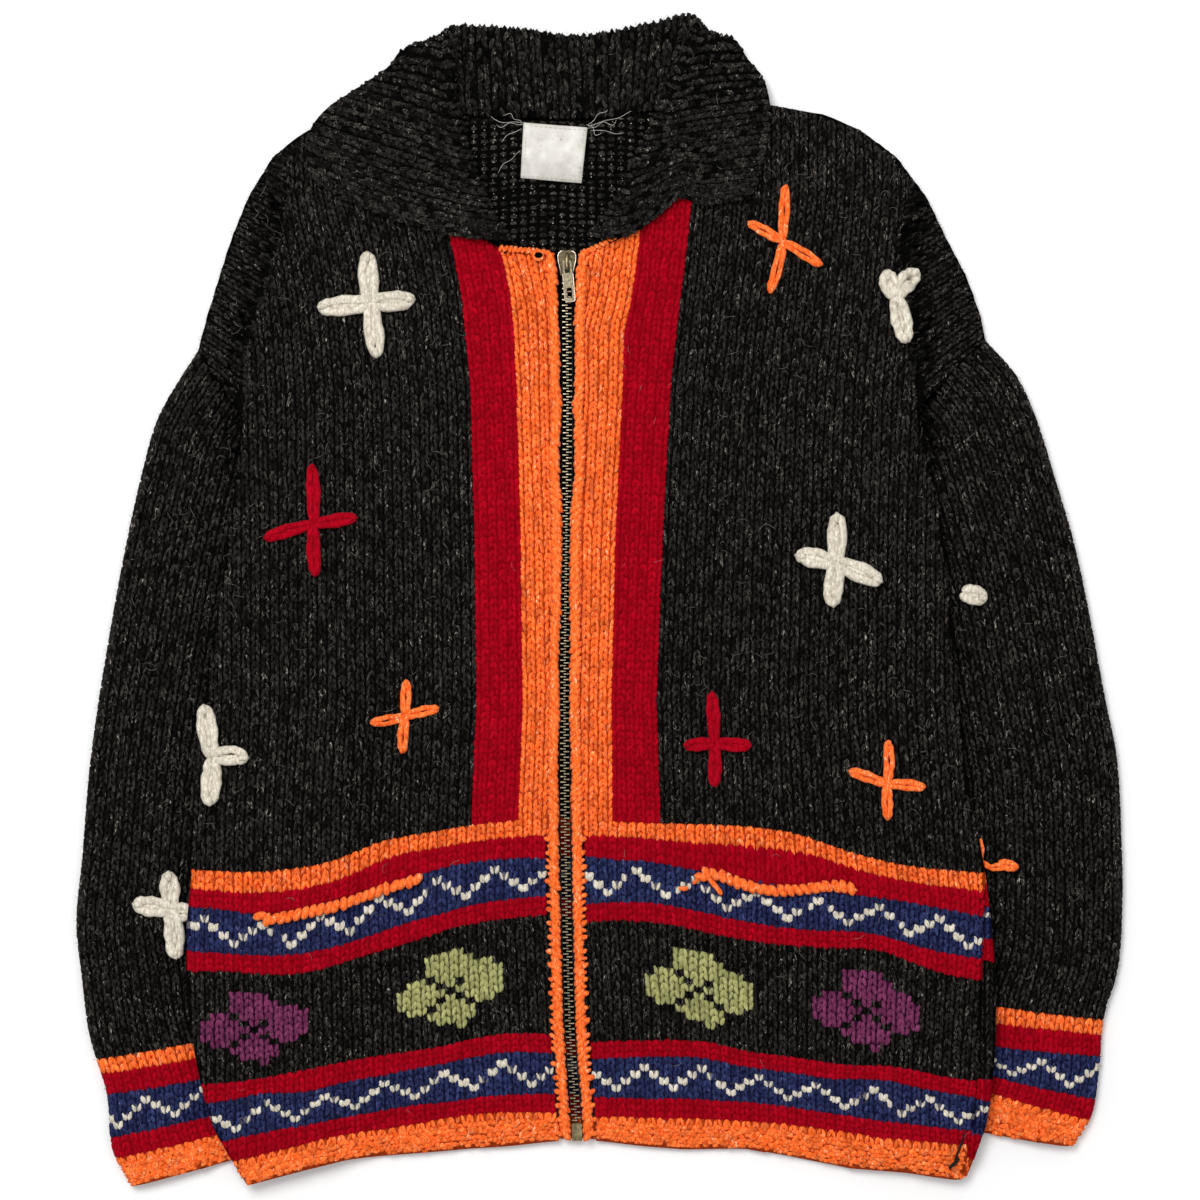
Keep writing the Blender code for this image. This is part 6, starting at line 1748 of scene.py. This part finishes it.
def build_fibres(sheets, outlines):
    """Pale fibres strewn over the cloth, fewer where it is bright, and dark ones past its outlines."""
    points, faces = [], []
    for sheet in sheets:
        start = len(points)
        points += [v.co / MM for v in sheet.data.vertices]
        faces += [tuple(start + i for i in f.vertices) for f in sheet.data.polygons]
    tree = BVHTree.FromPolygons(points, faces)

    def top(x, y):
        hit = tree.ray_cast(Vector((x, y, 100.0)), Vector((0, 0, -1)))
        return None if hit[0] is None else hit[0].z

    pale, dark = [], []
    while len(pale) < 620:
        x, y = RNG.uniform(-350, 350), RNG.uniform(-392, 394)
        z = top(x, y)
        bright = y < -150 or abs(x - MIDDLE_X) < 78
        if z is None or (bright and RNG.random() < 0.85):
            continue
        turn, bend = RNG.uniform(0, 2 * math.pi), RNG.normal(0, 1.6)
        long = RNG.uniform(3.0, 9.5)
        line = curl(x, y, turn, bend, long, 6)
        pale.append([(x, y, (top(x, y) or z) + 2.1 + 0.7 * math.sin(f * math.pi))
                     for f, (x, y) in zip(np.linspace(0, 1, 6), line)])
    sizes = [RNG.uniform(0.06, 0.10) for _ in pale]
    cords("loose_fibres", pale, sizes, "fibre", sides=3, slot="charcoal_knit")
    for line in outlines:
        line = np.asarray(line, float)
        reach = reach_along(line)
        for s in np.arange(1.0, reach[-1] - 1, 3.2):
            s = s + RNG.normal(0, 1.2)
            a = np.array([np.interp(s, reach, line[:, k]) for k in (0, 1)])
            b = np.array([np.interp(s + 1, reach, line[:, k]) for k in (0, 1)])
            out = np.array([b[1] - a[1], a[0] - b[0]]) / max(np.linalg.norm(b - a), 1e-6)
            if out.dot(a - (0, -20)) < 0:
                out = -out
            z = top(*(a - out * 3.0))
            if z is None:
                continue
            turn = math.atan2(out[1], out[0]) + RNG.normal(0, 0.7)
            bend = RNG.normal(0, 1.1)
            long = RNG.uniform(2.0, 4.6)
            level = max(z * 0.55 + 1.0, 0.4)
            dark.append([(x, y, level) for x, y in curl(*(a - out * 1.5), turn, bend, long, 5)])
    sizes = [RNG.uniform(0.06, 0.11) for _ in dark]
    cords("edge_fibres", dark, sizes, "charcoal", sides=3, slot="charcoal_knit")


# ---------------------------------------------------------------- putting it together
GROUNDS = {"front_left": build_front(-1), "front_right": build_front(1)}
back_inside = build_back()
GROUNDS["sleeve_left"] = build_sleeve(-1)
GROUNDS["sleeve_right"] = build_sleeve(1)
build_collar((GROUNDS["front_left"], GROUNDS["front_right"]))
build_crosses(GROUNDS)
build_edges(GROUNDS)
build_zip()
build_label(back_inside)
CLOTHS = [bpy.data.objects[f"{name}_cloth"] for name in ("front_left", "front_right", "sleeve_left",
                                                         "sleeve_right", "collar", "back")]
roll = [(row[4], row[5]) for row in COLLAR]
cast_off = [(row[7], row[8]) for row in COLLAR]
OUTLINES = [SLEEVE_OUT[-1][:-1], SLEEVE_OUT[1][:-1], SHOULDER[-1][:7], SHOULDER[1][5:],
            [(x, y + 2.0) for x, y in roll[10:18]], cast_off[3:11], cast_off[19:24]]
build_fibres(CLOTHS, [shifted(line) for line in OUTLINES])


# ---------------------------------------------------------------- floor, light and camera
CAMERA_HEIGHT = 2.40            # metres


def build_studio():
    mesh = bpy.data.meshes.new("floor")
    mesh.from_pydata([(-6, -6, 0), (6, -6, 0), (6, 6, 0), (-6, 6, 0)], [], [(0, 1, 2, 3)])
    floor = bpy.data.objects.new("floor", mesh)
    bpy.context.collection.objects.link(floor)
    mat = bpy.data.materials.new("pale_floor")
    mat.use_nodes = True
    shader = mat.node_tree.nodes["Principled BSDF"]
    shader.inputs["Base Color"].default_value = (0.86, 0.86, 0.86, 1)
    shader.inputs["Roughness"].default_value = 0.8
    mesh.materials.append(mat)
    world = bpy.data.worlds.new("studio")
    world.use_nodes = True
    sky = world.node_tree.nodes["Background"]
    sky.inputs["Color"].default_value = (1, 1, 1, 1)
    sky.inputs["Strength"].default_value = 0.6
    bpy.context.scene.world = world
    for name, at, size, power in (("key", (-0.7, 1.1, 2.6), 1.3, 62.0),
                                  ("fill", (1.2, -0.6, 2.8), 2.0, 10.0)):
        light = bpy.data.lights.new(name, "AREA")
        light.size = size
        light.energy = power
        lamp = bpy.data.objects.new(name, light)
        lamp.location = at
        lamp.rotation_euler = Vector(at).to_track_quat("Z", "Y").to_euler()
        bpy.context.collection.objects.link(lamp)
    cam = bpy.data.cameras.new("camera")
    cam.sensor_width = 36
    cam.lens = 107.0
    cam.clip_end = 20
    camera = bpy.data.objects.new("camera", cam)
    camera.location = (SHIFT[0] * MM, SHIFT[1] * MM, CAMERA_HEIGHT)
    bpy.context.collection.objects.link(camera)
    bpy.context.scene.camera = camera
    bpy.context.scene.view_settings.view_transform = "Standard"


build_studio()
